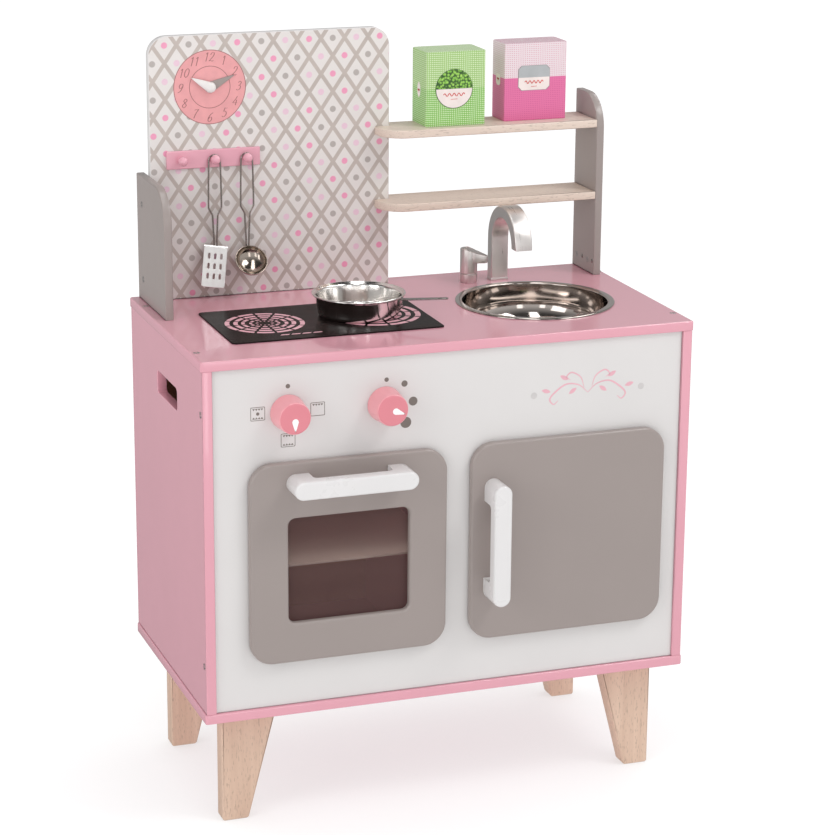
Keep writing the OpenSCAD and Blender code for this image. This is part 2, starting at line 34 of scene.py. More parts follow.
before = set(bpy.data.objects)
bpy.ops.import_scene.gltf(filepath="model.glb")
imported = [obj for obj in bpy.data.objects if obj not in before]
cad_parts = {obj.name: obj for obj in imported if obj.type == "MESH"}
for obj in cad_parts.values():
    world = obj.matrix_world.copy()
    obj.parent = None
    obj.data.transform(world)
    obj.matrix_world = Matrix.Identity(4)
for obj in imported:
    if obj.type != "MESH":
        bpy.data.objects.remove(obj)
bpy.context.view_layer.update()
MM = 0.001


def span(node):
    """Lowest and highest corner of a CAD node, in mm."""
    low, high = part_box(node)
    return np.array(low) / MM, np.array(high) / MM


def middle(node):
    """Centre of a CAD node's box, in mm."""
    low, high = span(node)
    return (low + high) / 2


def solids(node):
    """Points, in mm, of each separate solid in a CAD node: points that share a triangle take the lowest
    number among them, over and over, until nothing changes."""
    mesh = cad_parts[node].data
    points = np.empty(len(mesh.vertices) * 3)
    mesh.vertices.foreach_get("co", points)
    points = points.reshape(-1, 3) / MM
    corners = np.empty(len(mesh.loops), int)
    mesh.loops.foreach_get("vertex_index", corners)
    same = np.unique(np.round(points, 3), axis=0, return_inverse=True)[1].ravel()
    triangles = same[corners].reshape(-1, 3)
    label = np.arange(same.max() + 1)
    while True:
        lower = label.copy()
        np.minimum.at(lower, triangles.ravel(), np.repeat(label[triangles].min(1), 3))
        if (lower == label).all():
            break
        label = lower
    return [points[label[same] == k] for k in np.unique(label)]


# ---- Shapes: (points, faces, smooth flags, material numbers) ----


def shape(points, faces, smooth=True, mat=0):
    """A shape from its points and faces, all smooth or all flat, all in one material."""
    count = len(faces)
    return (np.asarray(points, float), [tuple(int(i) for i in f) for f in faces],
            np.full(count, smooth), np.full(count, mat))


def join(shapes):
    """Several shapes as one: each one's face numbers go up by the points that come before it."""
    shapes = list(shapes)
    starts = np.cumsum([0] + [len(s[0]) for s in shapes[:-1]])
    faces = [tuple(i + n for i in f) for s, n in zip(shapes, starts) for f in s[1]]
    return (np.concatenate([s[0] for s in shapes]), faces,
            np.concatenate([s[2] for s in shapes]), np.concatenate([s[3] for s in shapes]))


def grid(points, loop_u=False, loop_v=False, smooth=True, mat=0):
    """Skin over a grid of points: each cell is one face between neighbours in u and in v, and a looped
    direction also joins its last row to its first."""
    number = np.arange(points.shape[0] * points.shape[1]).reshape(points.shape[:2])
    if loop_u:
        number = np.concatenate([number, number[:1]], 0)
    if loop_v:
        number = np.concatenate([number, number[:, :1]], 1)
    faces = np.stack([number[:-1, :-1], number[1:, :-1], number[1:, 1:], number[:-1, 1:]], -1)
    return shape(points.reshape(-1, 3), faces.reshape(-1, 4), smooth, mat)


def skin(rings, smooth=True, mat=0):
    """Closed skin over a row of rings: each joins the next in four-sided faces, and the ends are filled."""
    body = grid(rings, loop_v=True, smooth=smooth, mat=mat)
    sides = rings.shape[1]
    total = rings.shape[0] * sides
    ends = shape(rings.reshape(-1, 3), [range(sides), range(total - sides, total)], False, mat)
    return (body[0], body[1] + ends[1], np.concatenate([body[2], ends[2]]),
            np.concatenate([body[3], ends[3]]))


def upright(x=0, y=0, z=0):
    """Places a shape's u, v, w along X, Y and Z from a point."""
    return lambda u, v, w: np.stack([x + u, y + v, z + w], -1)


def facing(x=0, y=0, z=0):
    """Places a shape's u, v along X and Z, and its w towards the front, from a point."""
    return lambda u, v, w: np.stack([x + u, y - w, z + v], -1)


def sideways(x=0, y=0, z=0):
    """Places a shape's u, v along Y and Z, and its w along X, from a point."""
    return lambda u, v, w: np.stack([x + w, y + u, z + v], -1)


def aimed(centre, axis, sign):
    """Places a shape's w along one of the frame's axes, up or down it, from a point."""
    first, second = [k for k in range(3) if k != axis]

    def place(u, v, w):
        points = np.empty(np.broadcast(u, v, w).shape + (3,))
        points[..., first] = centre[first] + u
        points[..., second] = centre[second] + v
        points[..., axis] = centre[axis] + sign * w
        return points
    return place


def outline(corners, radii=0, steps=8):
    """Closed outline with rounded corners: each corner becomes an arc that touches both its edges, whose
    centre lies on the corner's middle line at radius over the sine of half the corner's angle."""
    c = np.array(corners, float)
    r = np.broadcast_to(np.array(radii, float), len(c))[:, None]
    back = np.roll(c, 1, 0) - c
    back /= np.linalg.norm(back, axis=1, keepdims=True)
    ahead = np.roll(c, -1, 0) - c
    ahead /= np.linalg.norm(ahead, axis=1, keepdims=True)
    half = np.arccos(np.clip((back * ahead).sum(1), -1, 1))[:, None] / 2
    bisector = back + ahead
    bisector /= np.maximum(np.linalg.norm(bisector, axis=1, keepdims=True), 1e-9)
    centre = c + bisector * r / np.sin(half)
    start = c + back * r / np.tan(half) - centre
    end = c + ahead * r / np.tan(half) - centre
    first = np.arctan2(start[:, 1], start[:, 0])
    turn = np.arctan2(start[:, 0] * end[:, 1] - start[:, 1] * end[:, 0], (start * end).sum(1))
    angle = first[:, None] + turn[:, None] * np.linspace(0, 1, steps + 1)
    arc = centre[:, None] + r[:, None] * np.stack([np.cos(angle), np.sin(angle)], -1)
    return tidy(arc.reshape(-1, 2))


def tidy(loop):
    """A closed outline without points that repeat the one before."""
    gap = np.linalg.norm(loop - np.roll(loop, 1, 0), axis=1)
    return loop[gap > 1e-4]


def box_outline(u0, u1, v0, v1, radii=0, steps=8):
    """Rectangle with rounded corners, anticlockwise from the lower left."""
    return outline([(u0, v0), (u1, v0), (u1, v1), (u0, v1)], radii, steps)


def ring(u, v, radius, steps=64):
    """Circle as a closed outline: centre plus radius times cosine and sine."""
    a = np.arange(steps) * 2 * np.pi / steps
    return np.stack([u + radius * np.cos(a), v + radius * np.sin(a)], -1)


def drawn_in(loop):
    """How far each point of an outline moves when the outline is drawn in by 1: its two edges' inward
    normals added, over one plus their dot product."""
    ahead = np.roll(loop, -1, 0) - loop
    ahead /= np.linalg.norm(ahead, axis=1, keepdims=True)
    normal = np.stack([-ahead[:, 1], ahead[:, 0]], -1)
    before = np.roll(normal, 1, 0)
    return (normal + before) / (1 + (normal * before).sum(1, keepdims=True))


def slab(loop, w0, w1, place, edge=(0.5, 0.5), holes=(), mats=(0, 0, 0), steps=4):
    """Board: an edge profile carried along each outline, and the two faces filled. The profile draws in by
    e(1 - sin a) while it rises by e(1 - cos a), runs up the wall, and draws in again in the same way.
    The first loop is anticlockwise; holes are turned round, so that drawing in makes them wider.
    The three materials are for the low face, the wall and the high face."""
    loops = [loop] + [h[::-1] for h in holes]
    a = np.linspace(0, np.pi / 2, steps + 1)
    low, high = edge
    inset = np.concatenate([low * (1 - np.sin(a)), high * (1 - np.cos(a))])
    rise = np.concatenate([w0 + low * (1 - np.cos(a)), w1 - high * (1 - np.sin(a))])
    walls = []
    for one in loops:
        flat = one[None] + inset[:, None, None] * drawn_in(one)[None]
        walls.append(grid(place(flat[..., 0], flat[..., 1], rise[:, None] + 0 * flat[..., 0]),
                          loop_v=True, mat=mats[1]))
    caps = []
    for inset_by, w, mat in ((low, w0, mats[0]), (high, w1, mats[2])):
        rims = [one + inset_by * drawn_in(one) for one in loops]
        fill = tessellate_polygon([[Vector((p[0], p[1], 0)) for p in rim] for rim in rims])
        flat = np.concatenate(rims)
        caps.append(shape(place(flat[:, 0], flat[:, 1], w + 0 * flat[:, 0]), fill, False, mat))
    return join(walls + caps)


def lathe(profile, place, steps=96, mat=0):
    """Turned shape: each (radius, height) of the profile goes round the axis, u = r cos t, v = r sin t."""
    r, h = np.array(profile, float).T
    t = np.arange(steps) * 2 * np.pi / steps
    return grid(place(r[:, None] * np.cos(t), r[:, None] * np.sin(t), h[:, None] + 0 * t),
                loop_v=True, mat=mat)


def arc(cu, cv, radius, start, end, steps=8):
    """Points on an arc, angles in degrees: centre plus radius times cosine and sine."""
    a = np.radians(np.linspace(start, end, steps + 1))
    return np.stack([cu + radius * np.cos(a), cv + radius * np.sin(a)], -1)


def smooth_path(points, steps=8):
    """Smooth curve through points: between two of them each spot is the four nearest, weighted by
    Catmull and Rom's cubic."""
    p = np.array(points, float)
    p = np.concatenate([[2 * p[0] - p[1]], p, [2 * p[-1] - p[-2]]])
    t = np.linspace(0, 1, steps, endpoint=False)[:, None, None]
    a, b, c, d = p[:-3], p[1:-2], p[2:-1], p[3:]
    curve = 0.5 * (2 * b + (c - a) * t + (2 * a - 5 * b + 4 * c - d) * t**2
                   + (3 * b - a - 3 * c + d) * t**3)
    return np.concatenate([curve.transpose(1, 0, 2).reshape(-1, p.shape[1]), p[-2:-1]])


def headings(path):
    """Unit direction of a path at each of its points: from the point before to the point after."""
    step = np.gradient(path, axis=0)
    return step / np.linalg.norm(step, axis=1, keepdims=True)


def tube(path, radius, side, sides=12, mat=0):
    """Round wire: at each point of the path a circle in the plane of a fixed side direction and that
    direction crossed with the heading. The ends shrink to domes over one radius."""
    path = np.array(path, float)
    ahead = headings(path)
    dome = np.radians([90, 60, 30])
    first = path[0] - ahead[0] * radius * np.sin(dome)[:, None]
    last = path[-1] + ahead[-1] * radius * np.sin(dome[::-1])[:, None]
    size = radius * np.concatenate([np.cos(dome), np.ones(len(path)), np.cos(dome[::-1])])
    line = np.concatenate([first, path, last])
    ahead = np.concatenate([ahead[[0] * 3], ahead, ahead[[-1] * 3]])
    across = np.array(side, float)
    up = np.cross(ahead, across)
    t = np.arange(sides) * 2 * np.pi / sides
    rings = (line[:, None] + size[:, None, None]
             * (np.cos(t)[:, None] * across + np.sin(t)[:, None] * up[:, None]))
    return grid(rings, loop_v=True, mat=mat)


def pen_line(path, widths, height, place, mat=0):
    """Flat raised line: at each point of the path four corners, half the pen's width to either side, at
    heights 0 and height."""
    path = np.array(path, float)
    ahead = headings(path)
    off = np.stack([-ahead[:, 1], ahead[:, 0]], -1) * np.broadcast_to(widths, len(path))[:, None] / 2
    flat = np.stack([path - off, path + off, path + off, path - off], 1)
    lift = np.broadcast_to([0, 0, height, height], flat.shape[:2])
    return skin(place(flat[..., 0], flat[..., 1], lift), smooth=False, mat=mat)


# ---- Making a piece ----


def piece(name, made, materials, body, replaces=(), slot=None, sharp=35):
    """A named piece from a shape: doubles merged, faces turned outwards, edges sharper than an angle kept
    crisp, riding on its body and standing for its CAD nodes."""
    points, faces, smooth, mat = made
    mesh = bpy.data.meshes.new(name)
    mesh.from_pydata(points * MM, [], faces)
    mesh.polygons.foreach_set("material_index", mat)
    mesh.polygons.foreach_set("use_smooth", smooth)
    for material in materials:
        mesh.materials.append(material)
    work = bmesh.new()
    work.from_mesh(mesh)
    bmesh.ops.remove_doubles(work, verts=work.verts, dist=2e-7)
    bmesh.ops.recalc_face_normals(work, faces=work.faces)
    work.to_mesh(mesh)
    work.free()
    crisp(mesh, sharp)
    thing = bpy.data.objects.new(name, mesh)
    bpy.context.scene.collection.objects.link(thing)
    if body:
        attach(thing, body)
        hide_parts(*replaces)
    return thing


def crisp(mesh, sharp):
    """Marks the edges that turn by more than an angle, and leaves each face's own flag as it was."""
    flags = np.empty(len(mesh.polygons), bool)
    mesh.polygons.foreach_get("use_smooth", flags)
    mesh.set_sharp_from_angle(angle=np.radians(sharp))
    mesh.polygons.foreach_set("use_smooth", flags)


def work_with(thing, made, how="DIFFERENCE", sharp=35):
    """Takes a shape away from a piece, or adds it, and keeps the result as the piece's mesh."""
    tool = piece("tool", made, [], None)
    change = thing.modifiers.new("change", "BOOLEAN")
    change.operation = how
    change.object = tool
    change.solver = "EXACT"
    bpy.context.view_layer.update()
    done = thing.evaluated_get(bpy.context.evaluated_depsgraph_get())
    mesh = bpy.data.meshes.new_from_object(done)
    thing.modifiers.clear()
    thing.data = mesh
    mesh.name = thing.name
    bpy.data.objects.remove(tool)
    crisp(mesh, sharp)


def soften(thing, width, angle=40, steps=2):
    """Rounds the piece's sharp edges by a width in mm."""
    bevel = thing.modifiers.new("soften", "BEVEL")
    bevel.width = width * MM
    bevel.segments = steps
    bevel.limit_method = "ANGLE"
    bevel.angle_limit = np.radians(angle)


# ---- Materials ----


def shade(r, g, b):
    """Colour for a shader from its 0 to 255 shades."""
    c = np.array([r, g, b]) / 255
    return (*np.where(c <= 0.04045, c / 12.92, ((c + 0.055) / 1.055) ** 2.4), 1)


class Finish:
    """One material being built: its node tree, its shader, and short ways to add nodes."""

    def __init__(self, name, **constants):
        self.material = bpy.data.materials.new(name)
        self.material.use_nodes = True
        self.tree = self.material.node_tree
        self.shader = self.tree.nodes["Principled BSDF"]
        for key, value in constants.items():
            self.shader.inputs[key.replace("_", " ")].default_value = value
        self.place = self.tree.nodes.new("ShaderNodeTexCoord").outputs["Object"]

    def node(self, kind, inputs, **settings):
        """A new node with its settings, its inputs linked or set; gives its first shown output."""
        made = self.tree.nodes.new(kind)
        for key, value in settings.items():
            setattr(made, key, value)
        for key, value in inputs.items():
            if isinstance(value, bpy.types.NodeSocket):
                self.tree.links.new(value, made.inputs[key])
            else:
                made.inputs[key].default_value = value
        return next(o for o in made.outputs if o.enabled)

    def sum(self, how, a, b=0.0, c=0.0):
        """One step of arithmetic."""
        return self.node("ShaderNodeMath", {0: a, 1: b, 2: c}, operation=how)

    def stretched(self, across, centre=(0, 0, 0)):
        """The place less a centre, times a number for each axis."""
        moved = self.node("ShaderNodeVectorMath", {0: self.place, 1: centre}, operation="SUBTRACT")
        return self.node("ShaderNodeVectorMath", {0: moved, 1: across}, operation="MULTIPLY")

    def noise(self, scale, detail=3, rough=0.55, where=None, twist=0.0):
        """Cloudy noise from 0 to 1."""
        return self.node("ShaderNodeTexNoise", {"Vector": where or self.place, "Scale": scale,
                         "Detail": detail, "Roughness": rough, "Distortion": twist})

    def between(self, value, low, high, new_low=0.0, new_high=1.0):
        """Stretches a value's range from low and high to two new ends, held inside them."""
        return self.node("ShaderNodeMapRange", {0: value, 1: low, 2: high, 3: new_low, 4: new_high})

    def mixed(self, factor, a, b):
        """Colour a at factor 0, b at 1."""
        return self.node("ShaderNodeMix", {0: factor, 6: a, 7: b}, data_type="RGBA")

    def bump(self, height, strength, distance, under=None):
        """Bumps of a height in mm, over other bumps if given."""
        inputs = {"Height": height, "Strength": strength, "Distance": distance * MM}
        if under:
            inputs["Normal"] = under
        return self.node("ShaderNodeBump", inputs)

    def done(self, colour=None, roughness=None, normal=None):
        """Links what varies to the shader and gives the material."""
        for key, value in (("Base Color", colour), ("Roughness", roughness), ("Normal", normal)):
            if value is not None:
                self.tree.links.new(value, self.shader.inputs[key])
        return self.material


def mottled(f, colour, scale=9, amount=0.015):
    """A colour that drifts a little lighter and darker over the surface."""
    light = tuple(min(1, c * (1 + amount)) for c in colour[:3]) + (1,)
    dark = tuple(c * (1 - amount) for c in colour[:3]) + (1,)
    return f.mixed(f.between(f.noise(scale, 4), 0.3, 0.7), dark, light)


def lacquer(name, colour, rough=0.3, coat=0.25, peel=0.004):
    """Sprayed lacquer on board: a colour that drifts slightly, orange peel about 2 mm across with a finer
    grit on it, and a thin clear coat."""
    f = Finish(name, Coat_Weight=coat, Coat_Roughness=0.07, IOR=1.5)
    waves = f.noise(330, 2, 0.4)
    grit = f.noise(1500, 2, 0.5)
    normal = f.bump(grit, 0.12, peel * 0.3, f.bump(waves, 0.3, peel))
    roughness = f.between(f.noise(24, 4, 0.6), 0.3, 0.7, rough - 0.02, rough + 0.03)
    return f.done(mottled(f, colour), roughness, normal)


def wood(name, along, light, dark, rough=0.42, coat=0.12):
    """Planed and lacquered beech: broad soft bands and thin growth lines along the grain, and the short
    dark flecks that mark beech, which are also pits. Along is the grain's axis, 0, 1 or 2."""
    f = Finish(name, Coat_Weight=coat, Coat_Roughness=0.2, IOR=1.5)

    def run(lengthways, crossways):
        scale = [crossways] * 3
        scale[along] = lengthways
        return f.stretched(scale)

    sway = f.noise(1, 3, 0.5, run(1.5, 22), 0.6)
    lines = f.noise(1, 5, 0.6, run(3.5, 190), 0.3)
    flecks = f.between(f.noise(1, 1, 0.5, run(150, 950)), 0.60, 0.70)
    tone = f.sum("ADD", f.sum("MULTIPLY", sway, 0.6), f.sum("MULTIPLY", lines, 0.4))
    base = f.mixed(f.between(tone, 0.36, 0.64), dark, light)
    fleck_colour = tuple(c * 0.62 for c in dark[:3]) + (1,)
    colour = f.mixed(f.sum("MULTIPLY", flecks, 0.55), base, fleck_colour)
    grain = f.sum("SUBTRACT", f.sum("MULTIPLY", lines, 0.5), f.sum("MULTIPLY", flecks, 0.6))
    roughness = f.between(lines, 0.3, 0.7, rough - 0.06, rough + 0.1)
    return f.done(colour, roughness, f.bump(grain, 0.45, 0.12))


def metal(name, colour, rough, brushing, centre=None, depth=0.01, anisotropic=0.0):
    """Brushed or polished metal. The brush marks run along X, Y or Z where brushing is stretched on the
    other two, or round a centre line, where they depend only on the distance from it."""
    f = Finish(name, Metallic=1.0, IOR=2.5, Anisotropic=anisotropic)
    if centre is None:
        marks = f.noise(1, 3, 0.6, f.stretched(brushing))
    else:
        flat = f.stretched((1, 1, 0.001), centre)
        distance = f.node("ShaderNodeVectorMath", {0: flat}, operation="LENGTH")
        marks = f.noise(1, 3, 0.6, f.sum("MULTIPLY", distance, brushing))
    smears = f.noise(26, 4, 0.6)
    roughness = f.sum("ADD", f.between(marks, 0.3, 0.7, rough * 0.75, rough * 1.25),
                      f.between(smears, 0.35, 0.75, -0.02, 0.05))
    return f.done(mottled(f, colour, 14, 0.03), roughness, f.bump(marks, 0.3, depth))


def board_pattern():
    """Printed face of the back board: a lattice of slanted bands and a spot in each cell. With x and z
    counted in cells, the bands are where x + z or x - z is a whole number and a half; the spots sit where
    both are whole, and take one of three colours from their row and their place in the row."""
    f = Finish("patterned_board", Coat_Weight=0.2, Coat_Roughness=0.1)
    low, high = span("splashback")
    corner = ((low[0] + 18.1) * MM, 0, (high[2] - 9.9) * MM)
    cell = f.stretched((1 / (PATTERN_STEP[0] * MM), 1, 1 / (PATTERN_STEP[1] * MM)), corner)
    apart = f.tree.nodes.new("ShaderNodeSeparateXYZ")
    f.tree.links.new(cell, apart.inputs[0])
    x, z = apart.outputs["X"], apart.outputs["Z"]
    up = f.sum("ADD", x, z)
    down = f.sum("SUBTRACT", x, z)
    steep = np.hypot(1 / PATTERN_STEP[0], 1 / PATTERN_STEP[1])

    def band(value):
        away = f.sum("ABSOLUTE", f.sum("SUBTRACT", f.sum("FRACT", value), 0.5))
        edge = BAND_WIDE / 2 * steep
        return f.between(away, edge - 0.008, edge + 0.008, 1, 0)
    bands = f.sum("MAXIMUM", band(up), band(down))
    spot_up = f.sum("ROUND", up)
    spot_down = f.sum("ROUND", down)
    off_x = f.sum("SUBTRACT", x, f.sum("MULTIPLY", f.sum("ADD", spot_up, spot_down), 0.5))
    off_z = f.sum("SUBTRACT", z, f.sum("MULTIPLY", f.sum("SUBTRACT", spot_up, spot_down), 0.5))
    away = f.sum("SQRT", f.sum("ADD", f.sum("POWER", f.sum("MULTIPLY", off_x, PATTERN_STEP[0]), 2),
                               f.sum("POWER", f.sum("MULTIPLY", off_z, PATTERN_STEP[1]), 2)))
    spots = f.between(away, SPOT_ACROSS / 2 - 0.35, SPOT_ACROSS / 2 + 0.35, 1, 0)
    row = f.sum("FLOORED_MODULO", f.sum("SUBTRACT", spot_down, spot_up), 6)
    shift = 0.0
    for number, by in ((1, 2), (2, 1), (3, 2)):
        here = f.sum("MULTIPLY", f.sum("COMPARE", row, number, 0.1), by)
        shift = f.sum("ADD", here, shift)
    along = f.sum("FLOOR", f.sum("MULTIPLY", f.sum("ADD", f.sum("ADD", spot_up, spot_down), 1.01), 0.5))
    turn = f.sum("FLOORED_MODULO", f.sum("SUBTRACT", along, shift), 3)
    spot = f.mixed(f.sum("COMPARE", turn, 1, 0.1), SPOT_PINK, SPOT_GREY)
    spot = f.mixed(f.sum("COMPARE", turn, 2, 0.1), spot, SPOT_PALE)
    ground = mottled(f, BOARD_GROUND, 12, 0.03)
    colour = f.mixed(bands, f.mixed(spots, ground, spot), mottled(f, BOARD_BAND, 60, 0.05))
    print_film = f.sum("MAXIMUM", bands, spots)
    normal = f.bump(f.noise(700, 3), 0.25, 0.02, f.bump(print_film, 0.4, 0.03))
    return f.done(colour, f.between(f.noise(40, 3), 0.3, 0.7, 0.3, 0.42), normal)


def carton_print(name, node, low_colour, high_colour, dot_colour, split, square):
    """Printed card: two grounds, one above a level and one below, and a fine pattern of dots or of woven
    checks on both. Checks are squares from the fractions of the two lengths; dots are round."""
    f = Finish(name, Coat_Weight=0.35, Coat_Roughness=0.16)
    low, high = span(node)
    grid_place = f.stretched([1 / (CARD_DOT * MM)] * 3, low * MM)
    apart = f.tree.nodes.new("ShaderNodeSeparateXYZ")
    f.tree.links.new(grid_place, apart.inputs[0])
    flat = f.sum("ADD", apart.outputs["X"], apart.outputs["Y"])
    level = apart.outputs["Z"]
    off_u = f.sum("SUBTRACT", f.sum("FRACT", flat), 0.5)
    off_v = f.sum("SUBTRACT", f.sum("FRACT", level), 0.5)
    if square:
        away = f.sum("MAXIMUM", f.sum("ABSOLUTE", off_u), f.sum("ABSOLUTE", off_v))
        dots = f.between(away, 0.26, 0.34, 1, 0)
    else:
        away = f.sum("SQRT", f.sum("ADD", f.sum("POWER", off_u, 2), f.sum("POWER", off_v, 2)))
        dots = f.between(away, 0.16, 0.26, 1, 0)
    change = (high[2] - low[2]) * split / CARD_DOT
    upper = f.between(level, change, change + 0.3)
    ground = f.mixed(upper, low_colour, high_colour)
    colour = f.mixed(f.sum("MULTIPLY", dots, 0.8), ground, dot_colour)
    fibres = f.noise(900, 4, 0.6)
    return f.done(colour, f.between(fibres, 0.3, 0.7, 0.38, 0.5), f.bump(fibres, 0.2, 0.03))


def peas_print():
    """Print of heaped round peas: cells of uneven size, light in their middles and dark between."""
    f = Finish("peas_print", Coat_Weight=0.35, Coat_Roughness=0.16)
    cells = f.node("ShaderNodeTexVoronoi", {"Vector": f.place, "Scale": 330.0, "Randomness": 0.8})
    tint = f.noise(420, 2)
    light = f.mixed(f.between(tint, 0.35, 0.65), shade(122, 190, 62), shade(170, 222, 96))
    colour = f.mixed(f.between(cells, 0.30, 0.62), light, shade(48, 92, 30))
    return f.done(colour, f.between(tint, 0.3, 0.7, 0.36, 0.5), f.bump(f.noise(900, 4), 0.2, 0.03))


def raw_board():
    """Unpainted hardboard: a warm brown felt of short fibres with darker specks."""
    f = Finish("raw_board")
    felt = f.noise(420, 5, 0.7, None, 0.8)
    specks = f.between(f.noise(1300, 2), 0.62, 0.7)
    colour = f.mixed(f.between(felt, 0.3, 0.7), shade(150, 116, 84), shade(190, 156, 120))
    colour = f.mixed(f.sum("MULTIPLY", specks, 0.5), colour, shade(96, 68, 46))
    return f.done(colour, f.between(felt, 0.3, 0.7, 0.62, 0.8), f.bump(felt, 0.5, 0.06))


def hob_film():
    """Dark printed film with a satin face: a fine grain and faint wiping marks."""
    f = Finish("black_print", IOR=1.1)
    marks = f.noise(1, 3, 0.5, f.stretched((14, 90, 14)))
    colour = f.mixed(f.between(marks, 0.3, 0.7), shade(31, 24, 23), shade(37, 29, 28))
    return f.done(colour, f.between(marks, 0.3, 0.7, 0.2, 0.28), f.bump(f.noise(1800, 2), 0.2, 0.01))


def printed(name, colour, rough=0.42):
    """Screen-printed ink: one colour that is a touch uneven, with a very fine grain."""
    f = Finish(name, Coat_Weight=0.1, Coat_Roughness=0.2)
    grain = f.noise(1500, 2)
    return f.done(mottled(f, colour, 80, 0.05), f.between(grain, 0.3, 0.7, rough - 0.05, rough + 0.05),
                  f.bump(grain, 0.2, 0.01))


def tinted_pane():
    """Smoked plastic pane: a brown film that lets part of what is behind it through, with faint waves and
    wiping marks. The film's brown is partly the pane's own tint and partly painted light, lifted lighter
    for the lit inside of the oven seen through it."""
    f = Finish("tinted_pane", Alpha=0.3, IOR=1.49, Coat_Weight=0.3, Coat_Roughness=0.03)
    marks = f.noise(1, 3, 0.5, f.stretched((9, 9, 70)))
    # The brown is lighter than the pane's own tint: partly painted light for the lit oven inside behind it
    colour = f.mixed(f.between(marks, 0.3, 0.7), shade(112, 82, 80), shade(120, 90, 87))
    f.material.surface_render_method = "BLENDED"
    return f.done(colour, f.between(marks, 0.3, 0.7, 0.05, 0.1), f.bump(f.noise(16, 2), 0.3, 0.15))


# ---- Finishes ----

PATTERN_STEP = (27.05, 39.0)
BAND_WIDE = 4.3
SPOT_ACROSS = 6.8
SPOT_PINK = shade(236, 156, 187)
SPOT_GREY = shade(180, 172, 168)
SPOT_PALE = shade(230, 198, 213)
BOARD_GROUND = shade(226, 221, 218)
BOARD_BAND = shade(191, 180, 173)
CARD_DOT = 2.2

pink = lacquer("pink_lacquer", shade(228, 164, 178), 0.17, 0.6)
white = lacquer("white_lacquer", shade(220, 217, 216), 0.34)
taupe = lacquer("taupe_lacquer", shade(157, 146, 142), 0.36)
rose = lacquer("rose_lacquer", shade(224, 134, 145), 0.36)
# The knobs' sides: the same rose lacquer painted lighter, a painted highlight where more light falls on them
rose_painted_lit_side = lacquer("rose_lacquer_painted_lit_side", shade(237, 160, 168), 0.3)
clock_white = lacquer("clock_white", shade(232, 228, 226), 0.32)
handle_white = lacquer("handle_lacquer", shade(227, 225, 225), 0.28, 0.35)
leg_wood = wood("beech_upright", 2, shade(228, 198, 176), shade(210, 178, 156))
shelf_wood = wood("beech_lengthways", 0, shade(229, 212, 198), shade(221, 201, 186))
dowel_wood = wood("beech_dowel", 1, shade(222, 188, 160), shade(204, 168, 140))
card_board = raw_board()
patterned = board_pattern()
hob_black = hob_film()
pane_brown = tinted_pane()
tap_silver = metal("silver_metal", shade(228, 223, 220), 0.34, (900, 30, 30), depth=0.004)
tap_side = metal("silver_wrapped", shade(216, 211, 208), 0.36, (60, 500, 60), depth=0.004)
screw_steel = metal("screw_steel", shade(170, 168, 166), 0.3, (900, 900, 900))
magnet_metal = metal("magnet_metal", shade(150, 150, 152), 0.34, (700, 700, 700))
sink_steel = metal("polished_steel", shade(186, 177, 171), 0.08, 2600, middle("sink_bowl") * MM, 0.002)
pan_steel = metal("pan_steel", shade(228, 225, 222), 0.13, 3000, middle("pan_body") * MM, 0.002)
wire_steel = metal("wire_steel", shade(150, 142, 138), 0.2, (500, 500, 60))
blade_steel = metal("blade_steel", shade(226, 224, 222), 0.4, (260, 260, 20), depth=0.001)
pointer_white = printed("pointer_print", shade(250, 250, 250))
mark_taupe = printed("mark_print", shade(122, 113, 107))
mark_pale = printed("pale_print", shade(204, 200, 199))
mark_rose = printed("panel_print", shade(230, 176, 188))
hob_pink = printed("hob_print", shade(236, 178, 190), 0.34)
clock_salmon = printed("clock_print", shade(232, 162, 164))
clock_dark = printed("numeral_print", shade(166, 108, 108))
label_white = printed("label_print", shade(240, 228, 224))
label_red = printed("label_red", shade(206, 70, 62))
label_green = printed("label_green", shade(52, 92, 42))
green_card = carton_print("green_card", "carton_green", shade(118, 186, 62), shade(150, 194, 104),
                          shade(232, 246, 214), 0.5, True)
pink_card = carton_print("pink_card", "carton_pink", shade(226, 112, 164), shade(232, 218, 222),
                         shade(198, 70, 128), 0.55, False)

peg_pink = lacquer("peg_pink", shade(232, 168, 184), 0.24, 0.5)
handle_steel = metal("handle_steel", shade(150, 142, 140), 0.2, (60, 900, 900))
ladle_steel = metal("ladle_steel", shade(176, 164, 154), 0.16, (300, 300, 300), depth=0.004)
peas = peas_print()
sugar = printed("sugar_print", shade(176, 180, 182))
label_line_grey = printed("label_grey_line", shade(150, 146, 146))

# ---- Cabinet boards ----

EDGE = 0.9
TOP_EDGE = 1.6
DOOR_LAP = 12.0
OPENING_R = 13.0
DOOR_R = 25.0
HAND_HOLE_AT = {"front": 100.5, "back": 110.5, "down": 44.0, "tall": 24.0, "round": 5.0}


def add_worktop():
    """The pink top with a round hole for the sink bowl."""
    (x0, y0, z0), (x1, y1, z1) = span("worktop")
    sink = middle("sink_bowl")
    hole = ring(sink[0], sink[1], SINK_HOLE, 96)
    made = slab(box_outline(x0, x1, y0, y1, 3), z0, z1, upright(), (EDGE, TOP_EDGE), [hole])
    piece("top_board", made, [pink], "cabinet", ["worktop"], "pink_lacquer")


def add_base():
    """The pink board under the cabinet."""
    (x0, y0, z0), (x1, y1, z1) = span("bottom_panel")
    made = slab(box_outline(x0, x1, y0, y1, 3), z0, z1, upright(), (EDGE, TOP_EDGE))
    piece("base_board", made, [pink], "cabinet", ["bottom_panel"], "pink_lacquer")


def add_sides():
    """The two pink sides with their long hand holes."""
    at = HAND_HOLE_AT
    for node in ("side_left", "side_right"):
        (x0, y0, z0), (x1, y1, z1) = span(node)
        hole_top = z1 - at["down"]
        hole = box_outline(y0 + at["front"], y1 - at["back"], hole_top - at["tall"], hole_top, at["round"])
        made = slab(box_outline(y0, y1, z0, z1, 0.3, 2), x0, x1, sideways(), (EDGE, EDGE), [hole])
        piece(node + "_board", made, [pink], "cabinet", [node], "pink_lacquer")


